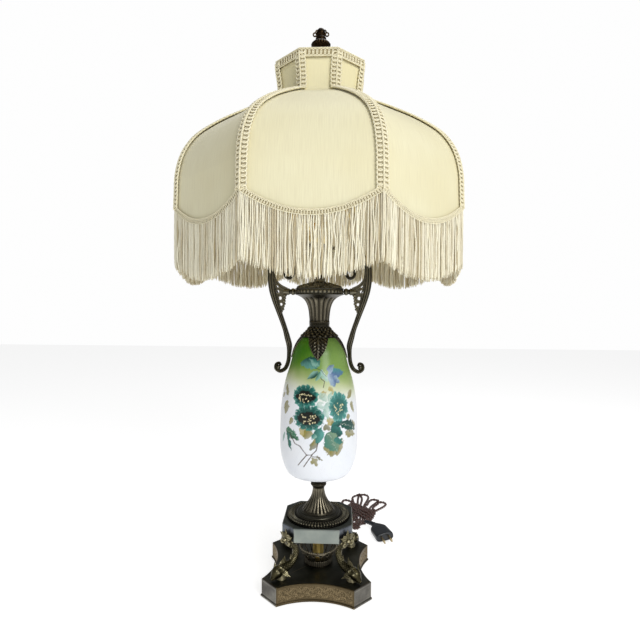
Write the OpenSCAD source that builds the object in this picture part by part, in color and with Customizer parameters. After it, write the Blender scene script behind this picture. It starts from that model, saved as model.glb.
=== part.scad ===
// Electrified banquet lamp: painted opal glass vase on a dolphin base, with two
// scroll handles and a fringed eight-panel silk shade. Millimetres, +Z up, the
// front faces -Y, and the origin is the middle of the underside.

/* [Base] */
// Half the plinth's width between its long sides' end points
plinth_half = 75.4; // [72:0.2:80]
// Half the length of each concave side of the plinth
plinth_side = 51.7; // [48:0.1:55]
// Radius of the concave sides
plinth_arc = 100; // [90:1:120]
// Height of the plinth's top above the table
plinth_top = 26; // [25:0.5:27]
// Half the pedestal's width across its flat faces
pedestal_half = 49.7; // [48:0.1:51]
// Half the length of each flat face of the pedestal
pedestal_side = 30.9; // [29:0.1:32]

/* [Vase] */
// Thickness of the glass
glass_wall = 3.5; // [2.5:0.5:5]
// How wide each leaf of the collar is
leaf_width = 26; // [20:1:30]

/* [Handles] */
// Thickness of the handle's strap, front to back
strap_depth = 7; // [5:0.5:9]
// Thickness of the pierced web
web_depth = 3; // [2:0.5:4]

/* [Shade] */
// Number of panels
panels = 8; // [8:1:8]
// Length of the fringe strands at the ribs
fringe_drop = 75; // [60:1:76]
// How far the middle of each panel hangs below its corners
scallop = 26; // [12:0.5:30]
// Width of the braid along the ribs
braid_width = 12; // [8:1:14]

/* [Fittings] */
// Angle of the two sockets from upright
socket_tilt = 45; // [40:1:50]
// Radius of the threaded tie rod
rod_r = 4.9; // [4.5:0.1:5]

/* [Cord] */
// Diameter of the twisted cord
cord_d = 5; // [4:0.5:6]

/* [Hidden] */
$fn = 64;

// Heights of the stack, bottom to top
felt_top = 1.2;
plate = 4;
gallery_top = plinth_top + 2.5;
washer_top = gallery_top + 2.5;
sleeve_step = 39.5;
pedestal_z = 75.3;
pedestal_top = 94.9;
ring_top = 99;
stem_z = 103;
vase_z = 155;
vase_top = 363;
collar_top = 378;
cup_z = 418;
cup_top = 428;
dome_top = 438;
nut_top = 442;
cluster_z = 505;
rod_top = 772;
spider_z = 733;

// Fits
rod_bore = rod_r + 0.2;
stud_r = 3.05;
running = 0.07;
gap = 0.3;

// Curves through hand-picked points
function between(a, b, c, d, t) =
    0.5 * (2 * b + (c - a) * t + (2 * a - 5 * b + 4 * c - d) * t * t
    + (3 * b - a - 3 * c + d) * t * t * t);
function spline(p, n) = [
    for (i = [0:len(p) - 2])
        for (k = [0:n - 1])
            between(p[max(i - 1, 0)], p[i], p[i + 1], p[min(i + 2, len(p) - 1)], k / n),
    p[len(p) - 1]
];
function unit(v) = v / norm(v);
function tangent(p, i) = unit(p[min(i + 1, len(p) - 1)] - p[max(i - 1, 0)]);
function left_of(t) = [-t.y, t.x];
function shift_line(p, d) = [for (i = [0:len(p) - 1]) p[i] + d * left_of(tangent(p, i))];
function reversed(p) = [for (i = [len(p) - 1:-1:0]) p[i]];
function raised(p, z) = [for (q = p) [q.x, q.y + z]];

// A flat ribbon of changing width along a line, as one outline
function ribbon(p, w) = concat(
    [for (i = [0:len(p) - 1]) p[i] + w[i] / 2 * left_of(tangent(p, i))],
    reversed([for (i = [0:len(p) - 1]) p[i] - w[i] / 2 * left_of(tangent(p, i))]));

// A tube along a line, with n sides and half-sizes w and h across it
function ring_at(c, t, side, w, h, n, turn) =
    let (out = unit(side - (side * t) * t), up = cross(t, out))
    [for (k = [0:n - 1]) c + w * cos(360 * k / n + turn) * out + h * sin(360 * k / n + turn) * up];

module tube(path, w, h, side, n, turn = 0) {
    last = len(path) - 1;
    points = [for (i = [0:last]) each ring_at(path[i], tangent(path, i), side, w[i], h[i], n, turn)];
    walls = [
        for (i = [0:last - 1]) for (k = [0:n - 1])
            let (a = i * n + k, b = i * n + (k + 1) % n)
            each [[a, a + n, b + n], [a, b + n, b]]
    ];
    start = [for (k = [0:n - 1]) k];
    end = [for (k = [n - 1:-1:0]) last * n + k];
    polyhedron(points, concat(walls, [start, end]));
}

module round_tube(path, r, side, n) {
    same = [for (p = path) r];
    tube(path, same, same, side, n);
}

// A closed wall between an outer and an inner grid, each a list of rings
module wall(outer, inner) {
    rows = len(outer);
    cols = len(outer[0]);
    size = rows * cols;
    function at(r, c) = r * cols + c % cols;
    faces = [
        for (r = [0:rows - 2]) for (c = [0:cols - 1])
            let (a = at(r, c), b = at(r, c + 1), d = at(r + 1, c), e = at(r + 1, c + 1))
            each [[a, b, e], [a, e, d], [size + a, size + e, size + b], [size + a, size + d, size + e]]
    ];
    top = [
        for (c = [0:cols - 1])
            let (a = at(0, c), b = at(0, c + 1))
            each [[a, size + a, size + b], [a, size + b, b]]
    ];
    bottom = [
        for (c = [0:cols - 1])
            let (a = at(rows - 1, c), b = at(rows - 1, c + 1))
            each [[a, b, size + b], [a, size + b, size + a]]
    ];
    points = concat([for (ring = outer) each ring], [for (ring = inner) each ring]);
    polyhedron(points, concat(faces, top, bottom));
}

module turned(profile) {
    rotate_extrude() polygon(profile);
}

module washer(r, bore, z, h) {
    translate([0, 0, z]) difference() {
        cylinder(r = r, h = h);
        translate([0, 0, -1]) cylinder(r = bore, h = h + 2);
    }
}

module hex_nut(r, bore, z, h) {
    translate([0, 0, z]) difference() {
        cylinder(r = r, h = h, $fn = 6);
        translate([0, 0, -1]) cylinder(r = bore, h = h + 2);
    }
}

// Plinth, with four concave sides and cut corners
module plinth_outline(grow) {
    half = plinth_half + grow;
    side = plinth_side + grow * 0.4;
    arc_centre = plinth_half - plinth_arc * (1 - cos(asin(plinth_side / plinth_arc)));
    difference() {
        polygon([
            [side, -half], [half, -side], [half, side], [side, half],
            [-side, half], [-half, side], [-half, -side], [-side, -half]
        ]);
        for (a = [0:90:270]) {
            rotate(a) translate([arc_centre + plinth_arc, 0]) circle(r = plinth_arc - grow, $fn = 128);
        }
    }
}

foot_r = 70;
bushing_z = 12;
side_middle = plinth_half - plinth_arc * (1 - cos(asin(plinth_side / plinth_arc)));

module felt_pad() {
    color([0.16, 0.2, 0.15]) linear_extrude(felt_top) plinth_outline(-3);
}

module plinth() {
    lip = 3;
    shell = 5;
    color([0.3, 0.27, 0.2]) difference() {
        union() {
            translate([0, 0, felt_top]) linear_extrude(lip) plinth_outline(1.2);
            translate([0, 0, felt_top]) linear_extrude(plinth_top - felt_top) plinth_outline(0);
        }
        translate([0, 0, -1]) linear_extrude(plinth_top - plate + 1) plinth_outline(-shell);
        cylinder(r = rod_bore, h = plinth_top + 1);
        for (a = [45:90:315]) {
            rotate(a) translate([foot_r, 0, 0]) cylinder(r = 2.1, h = plinth_top + 1);
        }
        translate([0, side_middle + 5, bushing_z]) rotate([90, 0, 0]) cylinder(r = 5.1, h = shell + 10);
    }
}

module cord_bushing() {
    color([0.2, 0.12, 0.08]) translate([0, side_middle, bushing_z]) rotate([-90, 0, 0])
        turned([[2.7, -8], [8, -8], [8, -6], [5, -6], [5, 0.3], [7, 0.3], [6.5, 3], [3.6, 21], [2.7, 21]]);
}

// Openwork gallery round the foot of the sleeve, wider at its rim
module base_gallery() {
    posts = 16;
    color([0.32, 0.31, 0.22]) difference() {
        union() {
            turned([
                [9, plinth_top], [22, plinth_top], [21.4, plinth_top + 1.6], [19.6, gallery_top],
                [9, gallery_top]
            ]);
            turned([
                [17.4, gallery_top - 0.5], [19.4, gallery_top - 0.5], [22, 37], [26.4, 46.6], [25, 47.2],
                [20.4, 37.6]
            ]);
            rotate_extrude() translate([26, 48.2]) circle(r = 1.8, $fn = 24);
        }
        for (k = [0:posts - 1]) {
            rotate(k * 360 / posts) translate([14, -2.7, 32]) cube([14, 5.4, 13.4]);
        }
        translate([0, 0, plinth_top - 1]) cylinder(r = rod_bore, h = 10);
    }
}

module base_washer() {
    color([0.4, 0.18, 0.12]) washer(8.5, rod_bore, gallery_top, washer_top - gallery_top);
}

module spacer_sleeve() {
    color([0.62, 0.48, 0.18]) turned([
        [rod_bore, washer_top], [6.4, washer_top], [6.8, washer_top + 2], [5.9, washer_top + 5],
        [6.6, sleeve_step - 1], [8.2, sleeve_step], [8.2, pedestal_top - 3], [rod_bore, pedestal_top - 3]
    ]);
}

module centre_rod() {
    color([0.6, 0.5, 0.3]) washer(rod_r, 3.4, 13, nut_top + 10 - 13);
}

module bottom_washer() {
    color([0.55, 0.55, 0.5]) washer(12, rod_bore, plinth_top - plate - 1.6, 1.6);
}

module bottom_nut() {
    color([0.6, 0.5, 0.3]) hex_nut(9.8, rod_r + 0.05, plinth_top - plate - 6.6, 5);
}

// Dolphin: distance from the axis and height of its spine, with half-sizes across
dolphin_spine = [
    [86.5, 29.2, 1.6, 2.2], [83, 31, 4, 4.2], [77, 35, 6.4, 8.2], [69, 37.4, 6.2, 8],
    [59, 38.6, 5.4, 6.4], [49.5, 42, 4.8, 5], [43.8, 49.5, 4.4, 4.4], [43.6, 58, 4, 4],
    [47.5, 64.5, 3.6, 3.4], [54, 69, 3.4, 2.8], [59.8, 73.4, 3.8, 2.3], [61.4, 80, 6.4, 2],
    [61.4, 88, 9, 1.4]
];

module dolphin(angle) {
    fine = spline(dolphin_spine, 3);
    path = [for (p = fine) [p[0], 0, p[1]]];
    color([0.45, 0.4, 0.24]) rotate(angle) difference() {
        union() {
            tube(path, [for (p = fine) p[2]], [for (p = fine) p[3]], [0, 1, 0], 12);
            translate([foot_r, 0, plinth_top]) cylinder(r = 5, h = 8, $fn = 24);
            translate([50, 0, 62]) cylinder(r = 3.4, h = pedestal_z - 62, $fn = 24);
        }
        translate([foot_r, 0, plinth_top - 1]) cylinder(r = 2.05, h = 12, $fn = 16);
    }
}

module dolphin_screws() {
    under = plinth_top - plate;
    color([0.5, 0.5, 0.48]) for (a = [45:90:315]) {
        rotate(a) translate([foot_r, 0, 0]) {
            translate([0, 0, under]) cylinder(r = 2, h = 14);
            translate([0, 0, under - 2.4]) cylinder(r = 4, h = 2.4);
        }
    }
}

module octagon(half, side) {
    polygon([
        [side, -half], [half, -side], [half, side], [side, half],
        [-side, half], [-half, side], [-half, -side], [-side, -half]
    ]);
}

module pedestal() {
    shell = 3;
    color([0.4, 0.42, 0.38]) translate([0, 0, pedestal_z]) difference() {
        linear_extrude(pedestal_top - pedestal_z) octagon(pedestal_half, pedestal_side);
        difference() {
            translate([0, 0, -1]) linear_extrude(pedestal_top - pedestal_z - shell + 1)
                octagon(pedestal_half - shell, pedestal_side - shell * 0.4);
            for (a = [45:90:315]) {
                rotate(a) translate([50, 0, -2]) cylinder(r = 5, h = 30);
            }
        }
        cylinder(r = rod_bore, h = 30);
    }
}

module beaded_ring() {
    color([0.3, 0.28, 0.2]) turned([
        [rod_bore, pedestal_top], [45, pedestal_top], [45, 96.4], [43.6, 98], [39.5, 97.4],
        [35, 98.4], [32.5, ring_top], [rod_bore, ring_top]
    ]);
}

module stem_ring() {
    color([0.36, 0.34, 0.26]) turned([
        [rod_bore, ring_top], [31, ring_top], [31.4, 100.2], [30.6, 101.6], [28.6, 102.2],
        [26, 101.8], [24.4, stem_z], [rod_bore, stem_z]
    ]);
}

stem_line = [
    [23.6, 0], [22.4, 3], [17.8, 9], [13.8, 15], [10.8, 21], [8.9, 28], [8.5, 33],
    [10.2, 36.6], [11.6, 38.4], [10.4, 40.2], [13, 43], [18.7, 46.4], [23.6, 50.6], [23.8, 51.2]
];

module fluted_stem() {
    outline = raised(spline(stem_line, 3), stem_z);
    color([0.38, 0.35, 0.24]) turned(concat([[rod_bore, stem_z]], outline, [[rod_bore, stem_z + 51.2]]));
}

module vase_gaskets() {
    color([0.15, 0.13, 0.1]) {
        washer(22, rod_bore, stem_z + 51.2, vase_z - stem_z - 51.2);
        washer(19, rod_bore, vase_top, 1.4);
    }
}

// Vase outline, from its foot to its mouth
vase_line = [
    [22, 0], [33, 0.9], [41.5, 3.4], [46, 7.2], [49.2, 13], [52, 20.5], [54.6, 30], [56.2, 42],
    [56.5, 56], [56.3, 75], [55.6, 95], [53.8, 113], [51.2, 130], [47.6, 145], [43.4, 158],
    [39.6, 172], [36, 185], [30, 197], [20, 208]
];

module vase() {
    outside = spline(vase_line, 3);
    body = [for (p = shift_line(outside, glass_wall)) if (p.y > glass_wall && p.y < 204) p];
    inside_line = concat([[14, 0], [14, glass_wall]], body, [[16, 204.5], [16, 208]]);
    color([0.85, 0.9, 0.85]) turned(raised(concat(outside, reversed(inside_line)), vase_z));
}

module leaf_collar() {
    shoulder = [for (p = raised(spline(vase_line, 3), vase_z)) if (p.y > 322 && p.y < 361) p];
    rings = [[21.4, 364], [19.7, 367.4], [17.7, 371], [17.4, 376], [15.4, 378]];
    outer = concat(shift_line(shoulder, -1.9), rings);
    inner = concat(shift_line(shoulder, -gap), [[19.4, 364.6], [rod_bore, 364.6], [rod_bore, 378]]);
    leaf = [
        [-0.5, 356], [-0.5, 349], [-0.38, 341], [-0.22, 334], [-0.07, 329], [0, 326.5],
        [0.07, 329], [0.22, 334], [0.38, 341], [0.5, 349], [0.5, 356]
    ];
    color([0.36, 0.34, 0.26]) intersection() {
        turned(concat(outer, reversed(inner)));
        union() {
            translate([0, 0, 355]) cylinder(r = 60, h = 40);
            for (a = [0, 90]) {
                rotate([90, 0, a]) linear_extrude(200, center = true)
                    polygon([for (p = leaf) [p.x * leaf_width, p.y]]);
            }
        }
    }
}

neck_line = [
    [14.2, 378], [14.7, 385], [15.9, 395], [17.8, 403], [21.3, 410], [26.7, 415], [32.8, 418]
];

module neck() {
    outside = spline(neck_line, 3);
    inside_line = [for (p = shift_line(outside, 3)) if (p.y > 381 && p.y < 415.5) p];
    bore = [[rod_bore, 381], [rod_bore, 378]];
    color([0.3, 0.28, 0.22]) turned(concat(outside, [[28, 418]], reversed(inside_line), bore));
}

module gallery_cup() {
    color([0.33, 0.31, 0.22]) difference() {
        turned([
            [rod_bore, cup_z], [33, cup_z], [34.6, 419.4], [35, 421], [34.4, 424], [35, 427], [34.4, cup_top],
            [32, cup_top], [32, 419.3], [rod_bore, 419.3]
        ]);
        rotate([0, 90, 0]) translate([-423, 0, -40]) cylinder(r = 2.1, h = 80, $fn = 24);
    }
}

module dome_cap() {
    holes = 10;
    color([0.26, 0.24, 0.17]) difference() {
        turned([
            [31.6, 428.2], [34.2, 428.2], [31, 429.6], [26, 430.8], [20, 432.6], [14, 435.2], [10, 437],
            [9, dome_top], [rod_bore, dome_top], [rod_bore, 436], [9.4, 435.4], [19.6, 431], [26, 429.2]
        ]);
        for (k = [0:holes - 1]) {
            rotate(k * 360 / holes) translate([23.5, 0, 420]) cylinder(r = 2.4, h = 20);
        }
    }
}

module top_nut() {
    color([0.3, 0.26, 0.18]) hex_nut(8, rod_r + 0.05, dome_top, nut_top - dome_top);
}

// Handle: knuckles, screws and the strap with its two scrolls
knuckle_z = 423;
knuckle_end = 47.4;

module handle_knuckles() {
    color([0.34, 0.31, 0.22]) difference() {
        for (s = [0, 180]) {
            rotate(s) translate([33, 0, knuckle_z]) rotate([0, 90, 0])
                turned([
                    [2.05, 0], [4, 0], [4, 3], [5, 4.6], [5, 7], [3.6, 8.4], [3.6, 10],
                    [5, 11.6], [5, 13.4], [4.4, knuckle_end - 33], [2.05, knuckle_end - 33]
                ]);
        }
        cylinder(r = 35.1, h = 500, $fn = 128);
    }
}

module handle_screws() {
    color([0.5, 0.45, 0.3]) for (s = [0, 180]) {
        rotate(s) translate([0, 0, knuckle_z]) rotate([0, 90, 0]) {
            translate([0, 0, 29.6]) cylinder(r = 3.6, h = 2.1, $fn = 32);
            translate([0, 0, 31.7]) cylinder(r = 1.95, h = 20, $fn = 32);
        }
    }
}

// Middle of the strap from the upper scroll's eye to the lower one's, with widths
strap_line = [
    [47.5, 456.5, 3.4], [51, 452, 3.8], [49.6, 445, 4.2], [43.8, 442.6, 4.6], [38.9, 448, 5],
    [38.8, 459, 5.6], [44.5, 469.5, 6.4], [55, 475.2, 7.6], [65, 470.5, 9.2], [69.9, 460, 10.4],
    [70.5, 449, 10.8], [70.3, 438, 10.8], [68.4, 424, 10.2], [65, 411, 9.2], [60.6, 398, 8.2],
    [56, 385, 7.4], [50.4, 369, 7.2], [46.8, 356, 8.2], [43.9, 344, 8.2], [44.2, 333, 6.2],
    [45.4, 321, 6], [49.6, 311, 6], [57, 306.8, 5.4], [63.2, 310.4, 5], [63, 316.6, 4.6],
    [58.6, 318.4, 4], [56.6, 314.6, 3.4]
];

module web_outline() {
    difference() {
        polygon([
            [47.4, 418], [49.7, 415], [50.6, 410], [50.1, 404.5], [52.9, 400], [52.5, 397], [55, 393],
            [58, 393], [66, 420], [66, 447], [65.2, 447], [64, 442], [60.5, 436], [55, 431], [47.4, 428]
        ]);
        translate([61, 423]) circle(r = 2.2, $fn = 24);
        translate([57.5, 413.5]) circle(r = 2.4, $fn = 24);
        translate([61, 431]) circle(r = 1.8, $fn = 24);
        translate([56, 404.5]) circle(r = 2, $fn = 24);
    }
}

module handle() {
    fine = spline(strap_line, 3);
    line = [for (p = fine) [p[0], p[1]]];
    color([0.36, 0.33, 0.24]) difference() {
        rotate([90, 0, 0]) {
            linear_extrude(strap_depth, center = true) {
                polygon(ribbon(line, [for (p = fine) p[2]]));
                translate([60, 312.2]) circle(r = 3.6, $fn = 32);
                translate([46, 453.6]) circle(r = 4, $fn = 32);
            }
            linear_extrude(web_depth, center = true) web_outline();
            translate([knuckle_end, 419.5, -strap_depth / 2]) cube([4, 7, strap_depth]);
        }
        translate([40, 0, knuckle_z]) rotate([0, 90, 0]) cylinder(r = 2.05, h = 12, $fn = 24);
    }
}

module handle_right() {
    handle();
}

module handle_left() {
    mirror([1, 0, 0]) handle();
}

// Pipe, two-light cluster and the rod that carries the shade
module riser_pipe() {
    color([0.2, 0.17, 0.12]) washer(6.8, rod_bore, nut_top, 50);
}

module along_socket(s) {
    translate([0, 0, cluster_z]) rotate([0, s * socket_tilt, 0]) children();
}

module cluster_body() {
    color([0.5, 0.42, 0.2]) difference() {
        union() {
            translate([0, 0, cluster_z]) sphere(r = 17);
            translate([0, 0, nut_top + 50]) cylinder(r = 10, h = 30);
            for (s = [-1, 1]) {
                along_socket(s) cylinder(r = 7, h = 24);
            }
        }
        translate([0, 0, cluster_z]) sphere(r = 14);
        cylinder(r = 5.3, h = cluster_z);
        translate([0, 0, cluster_z]) cylinder(r = stud_r + 0.05, h = 40);
        translate([0, 0, nut_top + 30]) cylinder(r = 40, h = 20);
        for (s = [-1, 1]) {
            along_socket(s) cylinder(r = 4, h = 30);
        }
    }
}

module top_rod() {
    foot = cluster_z + 9;
    color([0.55, 0.46, 0.24]) translate([0, 0, foot]) cylinder(r = stud_r, h = rod_top - foot);
}

module shade_seat() {
    color([0.5, 0.42, 0.24]) washer(9, stud_r + 0.02, spider_z - 2, 2 - gap);
}

module socket_caps() {
    color([0.58, 0.47, 0.22]) for (s = [-1, 1]) {
        along_socket(s) turned([
            [4.2, 24], [8, 24], [13.5, 29], [16.2, 35], [16.5, 42], [15.2, 42], [14.8, 36],
            [12, 31], [4.2, 26]
        ]);
    }
}

key_z = 47.5;

module socket_shells() {
    color([0.62, 0.5, 0.24]) for (s = [-1, 1]) {
        along_socket(s) difference() {
            turned([[15.3, 42], [16.5, 42], [16.5, 82], [17.1, 83], [16.5, 84], [15.3, 84]]);
            translate([0, 0, key_z]) rotate([90, 0, 0]) cylinder(r = 2.2, h = 30, $fn = 24);
        }
    }
}

module switch_bodies() {
    color([0.88, 0.86, 0.8]) for (s = [-1, 1]) {
        along_socket(s) difference() {
            translate([0, 0, 43]) cylinder(r = 14.2, h = 9);
            translate([0, -8, key_z]) rotate([90, 0, 0]) cylinder(r = 1.6 + running, h = 10);
        }
    }
}

module socket_liners() {
    color([0.3, 0.2, 0.12]) for (s = [-1, 1]) {
        along_socket(s) washer(15.1, 14.2, 52.2, 31);
    }
}

module screw_shells() {
    color([0.7, 0.56, 0.28]) for (s = [-1, 1]) {
        along_socket(s) {
            washer(14, 13, 53.6, 27);
            washer(14, 3, 52.2, 1.4);
        }
    }
}

module socket_key(s) {
    color([0.55, 0.45, 0.22]) along_socket(s) translate([0, 0, key_z]) rotate([90, 0, 0]) {
        translate([0, 0, 8.4]) cylinder(r = 1.6, h = 18);
        translate([0, 0, 24]) intersection() {
            resize([11, 4, 12]) cylinder(r = 5, h = 12, $fn = 32);
            translate([-6, -2, 0]) cube([12, 4, 12]);
        }
    }
}

module bulb_base(s) {
    color([0.75, 0.72, 0.6]) along_socket(s) turned([
        [0, 54.2], [4, 54.2], [5, 55.6], [10.4, 57.4], [13 - running, 59], [13 - running, 82], [0, 82]
    ]);
}

bulb_line = [
    [12.4, 82], [13.2, 87], [16.6, 95], [22, 105], [26.8, 115], [29.6, 126], [29.6, 138],
    [26, 149], [19, 157], [10, 162], [3, 163.6], [0, 163.8]
];

module bulb_glass(s) {
    outside = spline(bulb_line, 2);
    hollow = [for (p = shift_line(outside, 0.9)) [max(p.x, 0), min(max(p.y, 83), 162.8)]];
    color([0.95, 0.95, 0.92]) along_socket(s)
        turned(concat([[0, 82]], outside, [[0, 162.9]], reversed(hollow), [[0, 83]]));
}

// Shade: distance from the axis and height along a rib, top to hem
rim_z = 742;
collar_line = [[66.5, rim_z], [65.4, 728], [62.6, 710], [61.6, 694]];
dome_line = [
    [61.6, 694], [64.5, 690.4], [72, 687.5], [88, 680], [112, 668], [144, 650], [171.5, 630],
    [186, 613], [194.6, 596], [199, 580], [201, 566]];
skirt_z = 566;
hem_z = 499.5;
rib_turn = 22.5;
braid = 2.2;
columns = 6;

function skirt_r(z) = 201 + (skirt_z - z) / 30;
function hem_at(u) = hem_z + scallop * pow(2 * u - 1, 2);
function rib_point(k, q) = [
    q[0] * cos(rib_turn + k * 360 / panels), q[0] * sin(rib_turn + k * 360 / panels), q[1]
];
function rib_side(k) = [-sin(rib_turn + k * 360 / panels), cos(rib_turn + k * 360 / panels), 0];
function panel_point(k, u, q) = (1 - u) * rib_point(k, q) + u * rib_point(k + 1, q);
function ring_of(q) = [
    for (k = [0:panels - 1]) for (c = [0:columns - 1]) panel_point(k, c / columns, q)
];
// One ring t of the way from the dome's lower edge to a line "low" above the hem
function dome_ring(low, t, d) = [
    for (k = [0:panels - 1]) for (c = [0:columns - 1])
        let (u = c / columns)
        let (z = skirt_z + (hem_at(u) + low - skirt_z) * t)
        panel_point(k, u, [skirt_r(z) + d, z])
];
// One ring that follows the scalloped hem, "up" above it
function hem_ring(up, d) = [
    for (k = [0:panels - 1]) for (c = [0:columns - 1])
        let (u = c / columns)
        let (z = hem_at(u) + up)
        panel_point(k, u, [skirt_r(z) + d, z])
];
function shade_line(steps) = concat(
    spline(collar_line, steps),
    [for (p = spline(dome_line, steps)) if (p.y < 693.8) p]);
function shade_grid(steps, d, low, rows, drop) = concat(
    [for (q = shift_line(shade_line(steps), d)) ring_of([q.x, min(q.y, rim_z - drop)])],
    [for (j = [1:rows]) dome_ring(low, j / rows, d)]);

silk_d = -braid - 0.2;
wire_r = 1.6;
wire_d = silk_d - 0.8 - gap - wire_r;
lining_d = wire_d - wire_r - gap;

module shade_silk() {
    color([0.9, 0.88, 0.74]) wall(shade_grid(2, silk_d, 1, 4, 0.4), shade_grid(2, silk_d - 0.8, 1, 4, 0.4));
}

module shade_lining() {
    color([0.93, 0.91, 0.84]) wall(shade_grid(2, lining_d, 3, 2, 8), shade_grid(2, lining_d - 0.5, 3, 2, 8));
}

module shade_frame() {
    rib = [for (q = shift_line(shade_line(2), wire_d)) if (q.y < rim_z - 5) q];
    hoop = [60, rim_z - 6];
    corners = [for (k = [0:panels]) rib_point(k, hoop)];
    color([0.75, 0.73, 0.65]) {
        for (k = [0:panels - 1]) {
            spoke = concat([for (q = rib) rib_point(k, q)], [rib_point(k, [skirt_r(530) + wire_d, 532])]);
            round_tube(spoke, wire_r, rib_side(k), 6);
            low_edge = [
                for (c = [0:8])
                    let (z = hem_at(c / 8) + 5)
                    panel_point(k, c / 8, [skirt_r(z) + wire_d, z])
            ];
            round_tube(low_edge, wire_r, [0, 0, 1], 6);
            round_tube([corners[k], corners[k + 1]], wire_r, [0, 0, 1], 6);
        }
    }
}

module spider() {
    arms = 3;
    reach = 60 * cos(22.5) - wire_r - gap;
    color([0.5, 0.45, 0.34]) difference() {
        union() {
            translate([0, 0, spider_z]) cylinder(r = 11, h = 2.6);
            for (k = [0:arms - 1]) {
                rotate(90 + k * 360 / arms) translate([0, -2.6, spider_z]) cube([reach, 5.2, 2.6]);
            }
        }
        translate([0, 0, spider_z - 1]) cylinder(r = stud_r + running, h = 6);
    }
}

module rim_gimp() {
    line = [[66.5, rim_z], [66.1, rim_z - 6], [65.6, rim_z - 12]];
    color([0.88, 0.85, 0.7]) wall([for (q = line) ring_of(q)], [for (q = line) ring_of([q.x - braid, q.y])]);
}

module rib_gimp() {
    line = [for (q = shift_line(shade_line(2), -braid / 2)) if (q.y < rim_z - 13) q];
    full = concat(line, [[skirt_r(548) - braid / 2, 548], [skirt_r(534) - braid / 2, 534]]);
    across = [for (q = full) braid_width / 2 * sqrt(2)];
    deep = [for (q = full) braid / 2 * sqrt(2)];
    color([0.88, 0.85, 0.7]) for (k = [0:panels - 1]) {
        tube([for (q = full) rib_point(k, q)], across, deep, rib_side(k), 4, 45);
    }
}

module hem_gimp() {
    tall = 7;
    color([0.88, 0.85, 0.7]) wall(
        [hem_ring(tall, 0), hem_ring(0, 0)],
        [hem_ring(tall, -braid), hem_ring(0, -braid)]);
}

module fringe() {
    trim = 6.5;
    parts = [0.2 / fringe_drop, 0.5, 1];
    // The strands in the middle of a panel are cut shorter than those at its ribs
    function drop_ring(t, d) = [
        for (k = [0:panels - 1]) for (c = [0:columns - 1])
            let (u = c / columns)
            let (drop = (fringe_drop - trim * (1 - pow(2 * u - 1, 2))) * t)
            let (z = hem_at(u) - drop)
            panel_point(k, u, [skirt_r(z) + d, z])
    ];
    color([0.86, 0.82, 0.68]) wall(
        [for (t = parts) drop_ring(t, 0.4)],
        [for (t = parts) drop_ring(t, -4)]);
}

module finial() {
    color([0.34, 0.27, 0.14]) difference() {
        union() {
            turned([
                [0, spider_z + 2.9], [8, spider_z + 2.9], [8.6, 739], [6, 744], [5.4, 756], [7, 766],
                [9, 771], [13.6, 774.5], [14, 777], [11.5, 780.4], [7.4, 782.2], [7.2, 787.6],
                [5, 788.8], [6.2, 792], [6, 796], [3.8, 799.2], [0, 800]
            ]);
            for (s = [-1, 1]) {
                translate([s * 8.6, 0, 791.4]) sphere(r = 2.9);
            }
            translate([-8.6, 0, 791.4]) rotate([0, 90, 0]) cylinder(r = 1.5, h = 17.2);
        }
        translate([0, 0, spider_z]) cylinder(r = stud_r + running, h = rod_top + 0.3 - spider_z);
    }
}

// Cord: the part inside, the free lead, the tied hank and the plug
cord_r = cord_d / 2;
lead_route = [
    [0, 82.8, 12], [0, 92, 11], [0.5, 102, 7.5], [3, 112, 4], [8.5, 121, 2.6], [17, 128.5, 2.5],
    [28, 134, 2.5], [39, 140.4, 3.2], [48.3, 149.4, 5]
];
hank_spots = [[52.8, 159.6, 12], [70.3, 236.4, 29], [85.6, 276.2, 32], [87.1, 309.3, 22]];
hank_height = 34;
tail_route = [[67.8, 182.3, 8], [70.9, 180.4, 8], [74, 178.3, 8], [77.1, 176.2, 8]];
neck_route = [
    [77.1, 176.2, 8], [83.3, 172, 8], [89.5, 167.2, 8], [94.8, 161.5, 8], [97.1, 153.6, 8]
];
plug_at = [94.7, 162.5, 8];
plug_turn = 16.6;
plug_roll = 8;
plug_length = 48;

module inner_cord() {
    start = [0, side_middle - 7, bushing_z];
    bend = spline([start, [0, 40, 9.4], [0, 24, 6.6], [0, 10, 6], [0, 2.4, 9], [0, 0, 16]], 3);
    color([0.4, 0.25, 0.18]) round_tube(concat(bend, [[0, 0, 100], [0, 0, 490]]), cord_r, [1, 0, 0], 12);
}

module cord_lead() {
    color([0.35, 0.2, 0.15]) round_tube(spline(lead_route, 2), cord_r, [0, 0, 1], 8);
}

module cord_hank() {
    color([0.35, 0.2, 0.15]) linear_extrude(hank_height) hull() {
        for (s = hank_spots) {
            translate([s[0], s[1]]) circle(r = s[2]);
        }
    }
}

module cord_tail() {
    color([0.35, 0.2, 0.15]) round_tube(tail_route, cord_r, [0, 0, 1], 8);
}

module at_plug() {
    translate(plug_at) rotate([90, 0, plug_turn]) rotate(plug_roll) children();
}

module plug_body() {
    color([0.05, 0.06, 0.07]) {
        tube(neck_route, [3, 3.4, 3.8, 4.4, 4.8], [3, 3.4, 3.8, 4.4, 4.8], [0, 0, 1], 12);
        at_plug() hull() {
            cylinder(r = 4, h = 1, $fn = 32);
            for (s = [-1, 1]) {
                translate([s * 8.6, 0, 16]) cylinder(r = 6, h = 2, $fn = 32);
                translate([s * 8.8, 0, plug_length - 2]) cylinder(r = 7, h = 2, $fn = 32);
            }
        }
    }
}

module plug_blades() {
    color([0.75, 0.6, 0.3]) at_plug() for (s = [-1, 1]) {
        translate([s * 6.35 - 0.75, -3.2, plug_length]) cube([1.5, 6.4, 16]);
    }
}

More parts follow.
